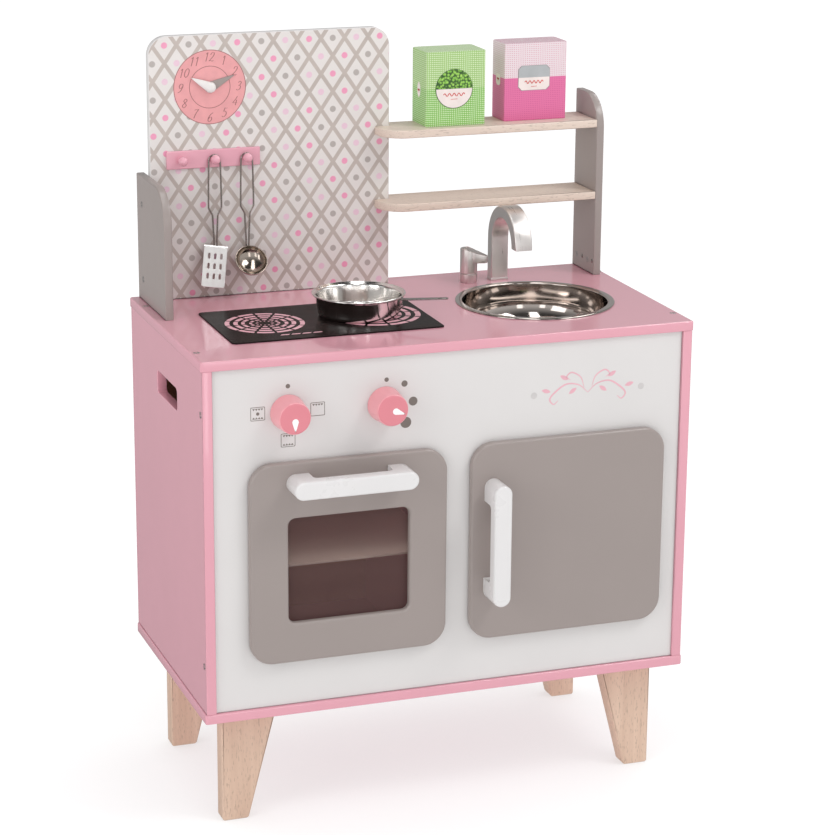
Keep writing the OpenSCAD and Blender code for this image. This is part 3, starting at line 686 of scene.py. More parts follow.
def opening_outline(door):
    """The hole behind a door: the door's outline drawn in by its lap."""
    (x0, _, z0), (x1, _, z1) = span(door)
    return box_outline(x0 + DOOR_LAP, x1 - DOOR_LAP, z0 + DOOR_LAP, z1 - DOOR_LAP, OPENING_R)


def add_front():
    """The white front with its two openings and the knobs' spindle holes."""
    (x0, y0, z0), (x1, y1, z1) = span("front_panel")
    holes = [opening_outline("oven_door"), opening_outline("cupboard_door")]
    holes += [ring(middle(k)[0], middle(k)[2], 3.2, 24) for k in ("oven_knob", "hob_knob")]
    made = slab(box_outline(x0, x1, z0, z1, 0.3, 2), -y1, -y0, facing(), (0.3, 0.7), holes)
    piece("front_board", made, [white], "cabinet", ["front_panel"], "white_lacquer")


def add_inside():
    """Back board, divider and oven shelf."""
    (x0, y0, z0), (x1, y1, z1) = span("back_panel")
    made = slab(box_outline(x0, x1, z0, z1, 0.3, 2), -y1, -y0, facing(), (0.3, 0.3))
    piece("back_board", made, [card_board], "cabinet", ["back_panel"], "raw_board")
    (x0, y0, z0), (x1, y1, z1) = span("centre_divider")
    made = slab(box_outline(y0, y1, z0, z1, 0.3, 2), x0, x1, sideways(), (EDGE, EDGE))
    piece("divider_board", made, [pink], "cabinet", ["centre_divider"], "pink_lacquer")
    (x0, y0, z0), (x1, y1, z1) = span("oven_shelf")
    made = slab(box_outline(x0, x1, y0, y1, 0.3, 2), z0, z1, upright(), (0.6, 0.6))
    piece("oven_shelf_board", made, [shelf_wood], "cabinet", ["oven_shelf"], "beech")


def add_legs():
    """Four beech legs: upright outside, narrowing inwards to the foot, which is eased all round."""
    for node in ("leg_front_left", "leg_front_right", "leg_back_left", "leg_back_right"):
        (x0, y0, z0), (x1, y1, z1) = span(node)
        outer, side = (x0, 1) if "left" in node else (x1, -1)
        corners = [(outer, z0), (outer + side * 28.6, z0), (outer + side * (x1 - x0), z1), (outer, z1)]
        loop = outline(corners[::side], [2.5, 3.5, 1, 1][::side])
        made = slab(loop, -y1, -y0, facing(), (1.6, 1.6))
        piece(node + "_wood", made, [leg_wood], "cabinet", [node], "beech")


# ---- Doors, hinges, handles ----

DOOR_FRONT_EDGE = 2.6
DOOR_BACK_EDGE = 1.9
PANE_LAP = 7.0
POCKET = (20.8, 15.0, 7.2)
HANDLE_BAR = 12.0
STAND_LONG = 24.0


def hinge_pockets(door, hinges, edge):
    """The pockets in a door's back that its hinges turn in: a block round each hinge, from the door's
    hinge edge inwards."""
    (_, _, z0), (x1, y1, _) = span(door)
    wide, long, deep = POCKET
    blocks = []
    for solid in solids(hinges):
        c = (solid.min(0) + solid.max(0)) / 2
        if edge == "below":
            loop = box_outline(c[0] - wide / 2, c[0] + wide / 2, z0 - 3, z0 + long, 0.5, 2)
        else:
            loop = box_outline(x1 - long, x1 + 3, c[2] - wide / 2, c[2] + wide / 2, 0.5, 2)
        blocks.append(slab(loop, -y1 - 3, -y1 + deep, facing(), (0, 0), steps=1))
    return join(blocks)


def add_doors():
    """Oven door with its window and a step behind it for the pane, and the plain cupboard door. Both have
    well rounded front edges, and pockets for the hinges."""
    (x0, y0, z0), (x1, y1, z1) = span("oven_door")
    (px0, py0, pz0), (px1, _, pz1) = span("oven_window")
    window = box_outline(px0 + PANE_LAP, px1 - PANE_LAP, pz0 + PANE_LAP, pz1 - PANE_LAP, 8)
    made = slab(box_outline(x0, x1, z0, z1, DOOR_R, 16), -y1, -y0, facing(),
                (DOOR_BACK_EDGE, DOOR_FRONT_EDGE), [window], steps=5)
    door = piece("oven_door_board", made, [taupe], "oven_door_body", ["oven_door"], "taupe_lacquer")
    step = slab(box_outline(px0 - 0.1, px1 + 0.1, pz0 - 0.1, pz1 + 0.1, 4), -y1 - 3, -py0 + 0.05,
                facing(), (0, 0), steps=1)
    work_with(door, step)
    work_with(door, hinge_pockets("oven_door", "oven_hinges", "below"))
    made = slab(box_outline(px0, px1, pz0, pz1, 4), -y1, -py0, facing(), (0.25, 0.25))
    piece("oven_pane", made, [pane_brown], "oven_door_body", ["oven_window"], "tinted_pane")
    (x0, y0, z0), (x1, y1, z1) = span("cupboard_door")
    made = slab(box_outline(x0, x1, z0, z1, DOOR_R, 16), -y1, -y0, facing(),
                (DOOR_BACK_EDGE, DOOR_FRONT_EDGE), steps=5)
    door = piece("cupboard_door_board", made, [taupe], "cupboard_door_body", ["cupboard_door"],
                 "taupe_lacquer")
    work_with(door, hinge_pockets("cupboard_door", "cupboard_hinges", "right"))


def add_handle(node, body, lengthways):
    """Bar handle: a flat bar with full round ends and softly rounded edges, cut away behind between its
    two stand-offs; the cut's inner corners are rounded."""
    (x0, y0, z0), (x1, y1, z1) = span(node)
    radius = min(x1 - x0, z1 - z0) / 2 - 0.01
    made = slab(box_outline(x0, x1, z0, z1, radius, 12), -y1, -y0, facing(), (0.2, 2.2), steps=5)
    handle = piece(node + "_bar", made, [handle_white], body, [node], "white_lacquer")
    if lengthways:
        gap = box_outline(x0 + STAND_LONG, x1 - STAND_LONG, -y1 - 8, -y0 - HANDLE_BAR, 5)
        cutter = slab(gap * [1, -1], z0 - 5, z1 + 5, upright(), (0, 0), steps=1)
    else:
        gap = box_outline(z0 + STAND_LONG, z1 - STAND_LONG, -y1 - 8, -y0 - HANDLE_BAR, 5)
        cutter = slab(gap[:, ::-1] * [-1, 1], x0 - 5, x1 + 5, sideways(), (0, 0), steps=1)
    work_with(handle, cutter)
    soften(handle, 0.8)


# ---- Screws and small metal ----


def screw(centre, axis, sign, radius, length):
    """Countersunk screw: a flat head with a cross-shaped recess, cone under it, and a thin shank."""
    place = aimed(centre, axis, sign)
    arm, half = radius * 0.62, radius * 0.16
    cross = np.array([(-half, -arm), (half, -arm), (half, -half), (arm, -half), (arm, half), (half, half),
                      (half, arm), (-half, arm), (-half, half), (-arm, half), (-arm, -half),
                      (-half, -half)])
    head = slab(ring(0, 0, radius, 32), -0.9, 0.12, place, (0, 0.15), [cross], steps=2)
    core = radius * 0.5
    shank = lathe([(0, -0.85), (radius * 0.96, -0.85), (radius * 0.94, -1.1), (core, -2.6),
                   (core, 3 - length), (0, -length)], place, 24)
    return join([head, shank])


def add_screws(node, body):
    """A detailed screw for each one in a CAD node: its long side is its axis, and its head is at the end
    where its points lie widest."""
    made = []
    for points in solids(node):
        low, high = points.min(0), points.max(0)
        axis = int(np.argmax(high - low))
        across = [k for k in range(3) if k != axis]
        centre = (low + high) / 2
        ends = []
        for sign, level in ((-1, low[axis]), (1, high[axis])):
            near = points[np.abs(points[:, axis] - level) < 0.05]
            ends.append((np.abs(near[:, across] - centre[across]).max(), sign, level))
        radius, sign, level = max(ends)
        centre[axis] = level
        made.append(screw(centre, axis, sign, radius, high[axis] - low[axis]))
    piece(node + "_heads", join(made), [screw_steel], body, [node], "screw_steel")


def add_catches():
    """Magnet discs in the front, and the discs on the doors' backs that meet them."""
    for node, body, out in (("door_magnets", "cabinet", 1), ("oven_strike", "oven_door_body", -1),
                            ("cupboard_strike", "cupboard_door_body", -1)):
        made = []
        for points in solids(node):
            low, high = points.min(0), points.max(0)
            c = (low + high) / 2
            radius = (high[0] - low[0]) / 2
            deep = high[1] - low[1]
            face = facing(c[0], low[1] if out > 0 else high[1], c[2])
            profile = np.array([(0, -deep), (radius, -deep), (radius, -0.2), (radius - 0.3, 0.12),
                                (radius - 0.8, 0.12), (radius - 1, 0.05), (0, 0.05)]) * [1, out]
            made.append(lathe(profile, face, 48))
        piece(node + "_discs", join(made), [magnet_metal], body, [node], "magnet_metal")


def keep_small_metal():
    """CAD nodes whose shape is right: hinge leaves, pins and spindles get their finishes."""
    finishes = {"oven_hinges": screw_steel, "cupboard_hinges": screw_steel, "hinge_pins": magnet_metal,
                "oven_knob_spindle": dowel_wood, "hob_knob_spindle": dowel_wood}
    for node, finish in finishes.items():
        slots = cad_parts[node].material_slots
        for k in range(len(slots)):
            slots[k].material = finish

# ---- Posts, back board, shelves ----


POST_CAPS_Y = (107.0, 135.0)
POST_CAPS_Z = 532.0


def add_posts():
    """Two taupe uprights with a rounded upper front corner, and the steel angle outside the right one."""
    for node, radius in (("post_left", 38.0), ("post_right", 37.0)):
        (x0, y0, z0), (x1, y1, z1) = span(node)
        loop = outline([(y0, z0), (y1, z0), (y1, z1), (y0, z1)], [0.5, 0.5, 1, radius], 16)
        made = slab(loop, x0, x1, sideways(), (1.2, 1.2))
        piece(node + "_board", made, [taupe], "cabinet", [node], "taupe_lacquer")
    (x0, y0, z0), (x1, y1, z1) = span("post_bracket")
    thick = 1.5
    loop = outline([(x0, z0), (x1, z0), (x1, z0 + thick), (x0 + thick, z0 + thick), (x0 + thick, z1),
                    (x0, z1)],
                   [1.4, 0.3, 0.3, 1.0, 0.3, 0.3], 4)
    made = slab(loop, -y1, -y0, facing(), (0.2, 0.2), steps=2)
    piece("post_angle", made, [screw_steel], "cabinet", ["post_bracket"], "silver_metal")
    inner_face = span("post_right")[0][0]
    dome = [(0, -0.1), (2.4, -0.1), (2.4, 0.15), (1.9, 0.4), (0.7, 0.5), (0.5, 0.2), (0, 0.2)]
    caps = join([lathe(dome, aimed((inner_face, y, POST_CAPS_Z), 0, -1), 32) for y in POST_CAPS_Y])
    piece("post_caps", caps, [wire_steel], "cabinet", slot="screw_steel")


def add_back_board():
    """The printed board: pattern on its front face, white edges and back."""
    (x0, y0, z0), (x1, y1, z1) = span("splashback")
    loop = outline([(x0, z0), (x1, z0), (x1, z1), (x0, z1)], [0.3, 0.3, 21, 21], 12)
    made = slab(loop, -y1, -y0, facing(), (0.8, 0.8), mats=(0, 0, 1))
    piece("splash_board", made, [white, patterned], "cabinet", ["splashback"], "patterned_board")


def add_shelves():
    """Two shelves with a round left tip in front of the back board, notched round the board's edge."""
    board_low, board_high = span("splashback")
    for node in ("shelf_upper", "shelf_lower"):
        (x0, y0, z0), (x1, y1, z1) = span(node)
        notch_x, notch_y = board_high[0], board_low[1]
        loop = outline([(x0, y0), (x1, y0), (x1, y1), (notch_x, y1), (notch_x, notch_y), (x0, notch_y)],
                       [28, 0.4, 0.4, 0.4, 0, 0.4], 16)
        made = slab(loop, z0, z1, upright(), (1.3, 1.3))
        piece(node + "_board", made, [shelf_wood], "cabinet", [node], "beech")


def add_pegs():
    """The pink rail and its three pegs: a dowel, a neck that flares into a round head."""
    (x0, y0, z0), (x1, y1, z1) = span("hook_rail")
    made = slab(box_outline(x0, x1, z0, z1, 1, 3), -y1, -y0, facing(), (0.2, 0.9))
    piece("peg_rail", made, [peg_pink], "cabinet", ["hook_rail"], "rose_lacquer")
    pegs = []
    for points in solids("hook_pegs"):
        low, high = points.min(0), points.max(0)
        c = (low + high) / 2
        radius = (high[2] - low[2]) / 2
        neck = 3.0
        ball = facing(c[0], low[1] + radius, c[2])
        neck_meets = np.degrees(np.arcsin(neck / radius))
        head = arc(0, 0, radius, neck_meets - 90, 90, 24)
        stem = [(0, low[1] + radius - high[1]), (neck, low[1] + radius - high[1])]
        pegs.append(lathe(np.concatenate([stem, head]), ball, 48))
    piece("pegs", join(pegs), [peg_pink], "cabinet", ["hook_pegs"], "rose_lacquer")


# ---- Clock ----

CLOCK_R = 40.4
CLOCK_INNER_R = 23.0
NUMERAL_R = 32.6
NUMERAL_TALL = 9.6
INK = 0.12
# Each digit's pen strokes, in a box one high
DIGITS = {
    "0": [[(.26, 0), (.05, .25), (.06, .75), (.28, 1), (.48, .75), (.46, .25), (.26, 0)]],
    "1": [[(.08, .82), (.24, 1)], [(.24, 1), (.24, .5), (.24, 0)]],
    "2": [[(.06, .74), (.18, .97), (.40, .94), (.44, .68), (.26, .34), (.02, .04)],
          [(.02, .04), (.2, .09), (.38, .01), (.52, .1)]],
    "3": [[(.08, .86), (.26, 1), (.43, .84), (.34, .6), (.18, .54)],
          [(.18, .54), (.42, .46), (.44, .16), (.22, 0), (.02, .12)]],
    "4": [[(.38, 1), (.2, .6), (.02, .3), (.26, .3), (.52, .32)], [(.38, .62), (.38, .3), (.38, 0)]],
    "5": [[(.48, .98), (.3, .96), (.15, .98), (.1, .6)],
          [(.1, .6), (.3, .62), (.46, .36), (.36, .08), (.16, 0), (.02, .1)]],
    "6": [[(.46, .98), (.22, .78), (.05, .4), (.1, .08), (.3, .0), (.46, .22), (.38, .48), (.2, .48),
           (.07, .3)]],
    "7": [[(.04, .9), (.16, .98), (.34, .94), (.5, 1)], [(.5, 1), (.26, .5), (.16, 0)]],
    "8": [[(.26, .53), (.08, .76), (.26, 1), (.44, .78), (.26, .53), (.04, .25), (.26, 0), (.48, .26),
           (.26, .53)]],
    "9": [[(.45, .7), (.3, .52), (.12, .54), (.05, .8), (.2, 1), (.42, .92), (.44, .6), (.3, .2),
           (.04, .02)]],
}


def numeral(text, u, v, tall, place):
    """A slanted pen-drawn number centred on a point. The pen's line is widest where it runs upright and
    thin where it runs sideways: half a width plus the heading's upright share."""
    wide = 0.56
    strokes = []
    for k, digit in enumerate(text):
        for stroke in DIGITS[digit]:
            path = smooth_path(stroke, 6)
            path[:, 0] += (k - len(text) / 2) * wide + 0.04
            path[:, 1] -= 0.5
            path[:, 0] += 0.27 * path[:, 1]
            path = path * tall + (u, v)
            upright_share = np.abs(headings(path)[:, 1])
            strokes.append(pen_line(path, tall * (0.03 + 0.065 * upright_share), INK, place))
    return join(strokes)


def annulus(u, v, outer, inner, height, place):
    """Thin flat ring."""
    return slab(ring(u, v, outer, 96), 0, height, place, (0, 0), [ring(u, v, inner, 96)], steps=1)


def add_clock():
    """The printed dial: salmon disc, its rim line and inner circle, and twelve slanted numbers."""
    face = middle("clock_pin")
    board_front = span("splashback")[0][1]
    on_board = facing(face[0], board_front, face[2])
    above = facing(face[0], board_front - INK, face[2])
    disc = slab(ring(0, 0, CLOCK_R, 128), -0.05, INK, on_board, (0, 0), [ring(0, 0, 2.3, 24)], steps=1)
    piece("dial_disc", disc, [clock_salmon], "cabinet", slot="rose_lacquer")
    lines = join([annulus(0, 0, CLOCK_R, CLOCK_R - 0.7, INK, above),
                  annulus(0, 0, CLOCK_INNER_R, CLOCK_INNER_R - 0.65, INK, above)])
    piece("dial_lines", lines, [clock_dark], "cabinet", slot="black_print")
    hours = np.arange(1, 13)
    turn = hours * np.pi / 6
    spots = np.stack([np.sin(turn), np.cos(turn)], -1) * NUMERAL_R
    numbers = join([numeral(str(h), *spot, NUMERAL_TALL, above) for h, spot in zip(hours, spots)])
    piece("dial_numbers", numbers, [clock_dark], "cabinet", slot="black_print", sharp=20)


def hand_skin(length, hub, thick, dome, place):
    """Leaf-shaped clock hand. Along its middle line the half width rises quickly from the tail, is the
    hub's radius at the pivot and falls to a point; across it the front swells as the square root of one
    less the share squared, highest over the pivot."""
    s = np.linspace(0, 1, 49)[:, None]
    along = -hub + s * (length + hub)
    round_part = np.sqrt(np.clip(hub**2 - along**2, 0, None))
    taper = hub * 0.93 * np.clip((length - along) / (length - hub * 0.2), 0, 1) ** 0.85
    half = np.where(along < hub * 0.2, round_part, taper)
    half = np.maximum(half, 0.02)
    share = np.linspace(-1, 1, 17)[None]
    swell = np.sqrt(np.clip(1 - share**2, 0, 1))
    rise = dome * np.exp(-(np.clip(along, 0, None) / (hub * 1.5)) ** 2) + dome * 0.18
    rise = rise * np.sqrt(half / half.max())
    front = place(share * half, along + 0 * share, thick + rise * swell)
    back = place(share[:, ::-1] * half, along + 0 * share, 0 * share * half)
    return grid(np.concatenate([front, back], 1), loop_v=True)


def turned(angle, place):
    """The same place with u and v turned clockwise by an angle in degrees."""
    c, s = np.cos(np.radians(angle)), np.sin(np.radians(angle))
    return lambda u, v, w: place(u * c + v * s, v * c - u * s, w)


def add_hands():
    """Hour hand in front, white; minute hand behind, taupe. Each points where its CAD node does."""
    face = middle("clock_pin")
    for node, body, finish, dome, slot in (
            ("clock_hour_hand", "hour_hand", clock_white, 2.6, "clock_white"),
            ("clock_minute_hand", "minute_hand", taupe, 0.15, "taupe_lacquer")):
        points = solids(node)[0]
        off = points - face
        reach = np.hypot(off[:, 0], off[:, 2])
        tip = off[np.argmax(reach)]
        angle = np.degrees(np.arctan2(tip[0], tip[2]))
        front, back = points[:, 1].min(), points[:, 1].max()
        place = turned(angle, facing(face[0], back, face[2]))
        piece(node + "_leaf", hand_skin(reach.max(), 6.0, back - front, dome, place), [finish], body,
              [node], slot)
    points = solids("clock_pin")[0]
    low, high = points.min(0), points.max(0)
    inner_end = low[1] - high[1]
    pin = lathe([(0, inner_end), (2, inner_end), (2, -1), (2.8, -1), (3, -0.7), (2.4, 0), (0, 0)],
                facing(face[0], low[1], face[2]), 32)
    piece("clock_axle", pin, [clock_white], "cabinet", ["clock_pin"], "rose_lacquer")


# ---- Knobs and the marks on the front ----

POINTER_LONG = 14.0
POINTER_R = 3.4
POINTER_OUT = 3.4


def teardrop(length, radius, steps=24):
    """Pointer outline: most of a circle, and two straight sides that meet in a tip below."""
    touch = np.degrees(np.arcsin(radius / (length - radius)))
    round_end = arc(0, 0, radius, -touch, 180 + touch, steps)
    return np.concatenate([round_end, [(-0.3, radius - length), (0.3, radius - length)]])


def add_knob(node, body, pointer_turn):
    """Turned knob: a slightly tapered side, a rounded rim, a flat front a little dished, and a white
    teardrop printed on it from its centre outwards. The side is painted a lighter rose than the front, a
    painted highlight for the light that falls more on it; the two meet at one point of the profile,
    partway round the rim."""
    (x0, y0, _), (x1, y1, _) = span(node)
    c = middle(node)
    wide, deep = (x1 - x0) / 2, y1 - y0
    top = wide - 2.0
    rim = 2.2
    side = [(wide - 0.5, 0), (wide, 0.6), (wide - 0.3, 2)]
    profile = np.concatenate([[(3.1, 0)], side, arc(top - rim, deep - rim, rim, 4, 90, 8),
                              [(top - rim - 2, deep), (6, deep - 0.05), (0, deep - 0.05)]])
    bore = np.array([(0, 14), (3.1, 14), (3.1, 0)])
    at_knob = facing(c[0], y1, c[2])
    turn_over = 9
    # The side and part of the rim take the lighter rose as a painted highlight; the front takes the plain
    # rose
    round_side = lathe(np.concatenate([bore, profile[:turn_over + 1]]), at_knob, 96, mat=1)
    front = lathe(profile[turn_over:], at_knob, 96)
    piece(node + "_turned", join([round_side, front]), [rose, rose_painted_lit_side], body, [node], "rose_lacquer")
    place = turned(pointer_turn, facing(c[0], y0 + 0.05, c[2]))
    mark = slab(teardrop(POINTER_LONG, POINTER_R) - (0, POINTER_OUT), -0.1, 0.05, place, (0, 0.04), steps=1)
    piece(node + "_pointer", mark, [pointer_white], body, slot="clock_white")


def spots_at(places, on_front):
    """Round printed spots: (u, v, radius) each."""
    return join([slab(ring(u, v, r, 32), -0.05, INK, on_front, (0, 0.05), steps=1) for u, v, r in places])


def frame_mark(u, v, on_front, above, below, centre):
    """Printed sign of an oven setting: a thin outline, a row of four small points along its top, its
    bottom or both, and a round spot in the middle."""
    wide, tall, line = 15.5, 14.5, 0.58
    outer = box_outline(u - wide / 2, u + wide / 2, v - tall / 2, v + tall / 2, 1.2, 4)
    inner = box_outline(u - wide / 2 + line, u + wide / 2 - line, v - tall / 2 + line,
                        v + tall / 2 - line, 0.9, 4)
    parts = [slab(outer, -0.05, INK, on_front, (0, 0), [inner], steps=1)]
    size = 1.4
    steps = (np.arange(4) - 1.5) * size * 2.1
    for row, sign in ((above, 1), (below, -1)):
        if row:
            base = v + sign * 5.5
            for x in steps + u:
                tip = np.array([(x - size, base), (x + size, base), (x, base - sign * size * 1.5)])
                parts.append(slab(tip[::-1] if sign > 0 else tip, -0.05, INK, on_front, (0, 0), steps=1))
    if centre:
        parts.append(slab(ring(u, v, 1.75, 24), -0.05, INK, on_front, (0, 0), steps=1))
    return join(parts)


# Signs: place from the knob, then points above, points below, spot in the middle. Spots: place, radius.
OVEN_SIGNS = ((-32, 1.1, (True, True, True)), (32, 0.7, (True, False, False)),
              (0.1, -29.6, (True, True, False)))
OVEN_SPOTS = ((0.2, 27.7, 2.4),)
HOB_SPOTS = ((1.9, 26, 2.4), (21.5, 20.1, 3.4), (31.1, 0.4, 4.8), (23.2, -21.9, 6))
ORNAMENT_AT = (152.4, 452.0)
ORNAMENT_HALF = 61.6
ORNAMENT_SIZE = 1.45
ORNAMENT_STEM = ((0, -3), (7, 3), (17, 4.5), (26, -1), (30, -6), (27, -10), (23.5, -7.5))
ORNAMENT_CURL = ((3, 1), (6, 9), (13, 13), (17, 10), (14, 7.5))
ORNAMENT_LEAVES = ((12, -1, -35), (19, 9.5, 30), (33, 0.5, 15))


def add_ornament(on_front):
    """Plain printed spray of two curled stems and three leaves each, with a pale spot at either end. The
    stems are smooth lines through a few points, mirrored; the leaves are two arcs that meet in tips."""
    strokes = []
    for sign in (ORNAMENT_SIZE, -ORNAMENT_SIZE):
        for points, thin, more in ((ORNAMENT_STEM, 0.5, 1.3), (ORNAMENT_CURL, 0.4, 1.1)):
            path = smooth_path(np.array(points) * (sign, ORNAMENT_SIZE), 8)
            share = np.linspace(0, 1, len(path))
            strokes.append(pen_line(path, thin + more * np.sin(np.pi * share), INK, on_front))
        for x, y, lean in ORNAMENT_LEAVES:
            bend = np.linspace(-1, 1, 9)[:, None]
            along, out = bend * 3.6, (1 - bend**2) * 1.5
            leaf = np.concatenate([np.hstack([along, -out]), np.hstack([along, out])[::-1][1:-1]])
            c, s = np.cos(np.radians(lean)), np.sin(np.radians(lean))
            leaf = (leaf @ np.array([[c, s], [-s, c]]) + (x, y)) * ORNAMENT_SIZE
            leaf = leaf if sign > 0 else (leaf * (-1, 1))[::-1]
            strokes.append(slab(leaf, -0.05, INK, on_front, (0, 0), steps=1))
    return join(strokes)


def add_marks():
    """Printed marks on the white front, placed from the two knobs' centres, and a small plain ornament
    between the worktop and the cupboard door."""
    front = span("front_panel")[0][1]
    oven, hob = middle("oven_knob"), middle("hob_knob")
    at_oven = facing(oven[0], front, oven[2])
    at_hob = facing(hob[0], front, hob[2])
    signs = join([frame_mark(u, v, at_oven, *parts) for u, v, parts in OVEN_SIGNS])
    piece("oven_signs", signs, [mark_taupe], "cabinet", slot="black_print")
    dots = join([spots_at(OVEN_SPOTS, at_oven), spots_at(HOB_SPOTS, at_hob)])
    piece("heat_spots", dots, [mark_taupe], "cabinet", slot="black_print")
    x, z = ORNAMENT_AT
    at_ornament = facing(x, front, z)
    piece("ornament_spray", add_ornament(at_ornament), [mark_rose], "cabinet", slot="rose_lacquer")
    piece("ornament_spots", spots_at([(-ORNAMENT_HALF, -3, 3.6), (ORNAMENT_HALF, -3, 3.6)], at_ornament),
          [mark_pale], "cabinet", slot="taupe_lacquer")


# ---- Hob ----

BURNER_RINGS = ((42.5, 37.5), (33.3, 28.6), (25.0, 21.2), (16.4, 13.4), (9.6, 7.6))
BURNERS = ((-61.0, 1.0), (62.0, 1.16))
SECTORS = 12


def dash(u, v, outer, inner, start, end, place):
    """Part of a flat ring between two angles in degrees."""
    steps = 5
    loop = np.concatenate([arc(u, v, outer, start, end, steps), arc(u, v, inner, end, start, steps)])
    return slab(loop, 0, INK, place, (0, 0), steps=1)


def add_hob():
    """Dark plate with two burners drawn as rings of dashes, gaps lined up like spokes, and four short
    slanted dashes in front of the left one."""
    (x0, y0, z0), (x1, y1, z1) = span("hob_plate")
    made = slab(box_outline(x0, x1, y0, y1, 5), z0, z1, upright(), (0.1, 0.5))
    piece("hob_sheet", made, [hob_black], "cabinet", ["hob_plate"], "black_print")
    c = middle("hob_plate")
    on_hob = upright(c[0], c[1], z1 - 0.02)
    turn = 360 / SECTORS
    parts = []
    for u, size in BURNERS:
        for outer, inner in np.array(BURNER_RINGS) * size:
            gap = np.degrees(1.5 / ((outer + inner) / 2))
            parts += [dash(u, 2.6, outer, inner, 90 + k * turn + gap, 90 + (k + 1) * turn - gap, on_hob)
                      for k in range(SECTORS)]
    slant = 2.4
    for k in range(4):
        u, v = BURNERS[0][0] + 0.5 + 11.9 * k, -52.3
        loop = np.array([(u, v), (u + 9, v), (u + 9 + slant, v + 3), (u + slant, v + 3)])
        parts.append(slab(loop, 0, INK, on_hob, (0, 0), steps=1))
    piece("burner_marks", join(parts), [hob_pink], "cabinet", slot="black_print")


# ---- Sink, tap ----

SINK_HOLE = 81.5


def add_sink():
    """Pressed steel bowl: a rolled rim, a short steep wall, a wide bend and a flat floor with a shallow
    ring pressed into it."""
    (x0, _, z0), (x1, _, z1) = span("sink_bowl")
    c = middle("sink_bowl")
    outer, deep, thick = (x1 - x0) / 2, z1 - z0 - 1.6, 1.0
    wall, bend = outer - 7, 30.0
    inner_wall = wall - thick
    level = z1 - 1.6
    rim = np.concatenate([[(outer - 0.6, 0.1), (outer, 0.5)], arc(outer - 1.2, 0.45, 1.15, 20, 90, 6),
                          [(outer - 3.4, 1.6)], arc(inner_wall + 1.8, -0.2, 1.8, 90, 180, 8)])
    inside = np.concatenate([arc(inner_wall - bend + thick, bend - deep, bend - thick, 0, -90, 20) + (0, 0),
                             [(22, thick - deep), (20, thick - deep - 0.35), (18, thick - deep),
                              (0, thick - deep)]])
    outside = np.concatenate([[(0, -deep), (16, -deep), (20, -deep)],
                              arc(wall - bend, bend - deep, bend, -90, 0, 20),
                              [(wall, 0.1)]])
    profile = np.concatenate([rim, inside, outside, rim[:1]])
    made = lathe(profile, upright(c[0], c[1], level), 160)
    piece("sink_pressing", made, [sink_steel], "sink", ["sink_bowl"], "polished_steel", sharp=50)


def add_tap():
    """Cane-shaped spout of constant flat section, its edges eased, and the seam of its foot plate."""
    (x0, y0, z0), (x1, y1, z1) = span("tap_spout")
    thick = 13.5
    radius = (y1 - y0) / 2
    mid_y, spring = (y0 + y1) / 2, z1 - radius
    outside = arc(mid_y, spring, radius, 0, 180, 40)
    inside = arc(mid_y, spring, radius - thick, 180, 0, 40)
    loop = np.concatenate([[(y1, z0 + 0.05)], outside, inside, [(y1 - thick, z0 + 0.05)]])
    made = slab(tidy(loop), x0, x1, sideways(), (1.3, 1.3), mats=(1, 0, 1))
    piece("tap_cane", made, [tap_silver, tap_side], "cabinet", ["tap_spout"], "silver_metal", sharp=50)
    foot = slab(box_outline(x0 - 0.25, x1 + 0.25, y1 - thick - 0.25, y1 + 0.25, 1.4, 4), z0, z0 + 3.2,
                upright(), (0.1, 0.5), steps=2)
    piece("tap_foot", foot, [tap_side], "cabinet", slot="silver_metal")


def add_lever():
    """Tap's lever: a fixed turned base, and on it a turning cap whose top slants down into a short arm."""
    (_, _, z0), (_, _, z1) = span("tap_base")
    points = solids("tap_base")[0]
    c = (points.min(0) + points.max(0)) / 2
    wide = (points.max(0) - points.min(0))[0] / 2
    collar = 10.5
    profile = [(0, 0), (wide - 0.2, 0), (wide, 0.3), (wide, collar - 0.5), (wide - 0.5, collar),
               (4, collar), (4, z1 - z0 - 0.5), (3.5, z1 - z0), (0, z1 - z0)]
    made = lathe(profile, upright(c[0], c[1], z0), 64)
    piece("lever_base", made, [tap_side], "cabinet", ["tap_base"], "silver_metal")
    cap_low, cap_high = span("tap_lever")
    tall = cap_high[2] - cap_low[2]
    slope = np.tan(np.radians(18))
    turn = turned(30, upright(c[0], c[1], cap_low[2]))

    def slanted(u, v, w):
        top = tall - slope * np.clip(u + 3, 0, None)
        return turn(u, v, np.where(w > 100, top - (200 - w), w))
    round_part = slab(ring(0, 0, wide, 64), 0, 200, slanted, (0.4, 0.9), [ring(0, 0, 4.1, 32)], steps=3)
    lid = slab(ring(0, 0, 4.4, 32), 14, 199.99, slanted, (0, 0), steps=1)
    arm_loop = outline([(-2, -8.2), (9, -7.6), (21.5, -3.4), (21.5, 3.4), (9, 7.6), (-2, 8.2)],
                       [0.5, 12, 3.2, 3.2, 12, 0.5], 5)
    arm = slab(arm_loop, 12.0, 199.96, slanted, (1.0, 0.9), steps=3)
    piece("lever_cap", join([round_part, lid, arm]), [tap_side], "tap_lever_body", ["tap_lever"],
          "silver_metal")


# ---- Pan ----

PAN_FOOT_R = 44.0
BOLT_UP = 13.0


def pan_wall_at(height):
    """Radius of the pan's outer wall at a height above its foot: a straight line between two points."""
    return np.interp(height, [5, 21.4], [PAN_FOOT_R, PAN_FOOT_R + 2.6])


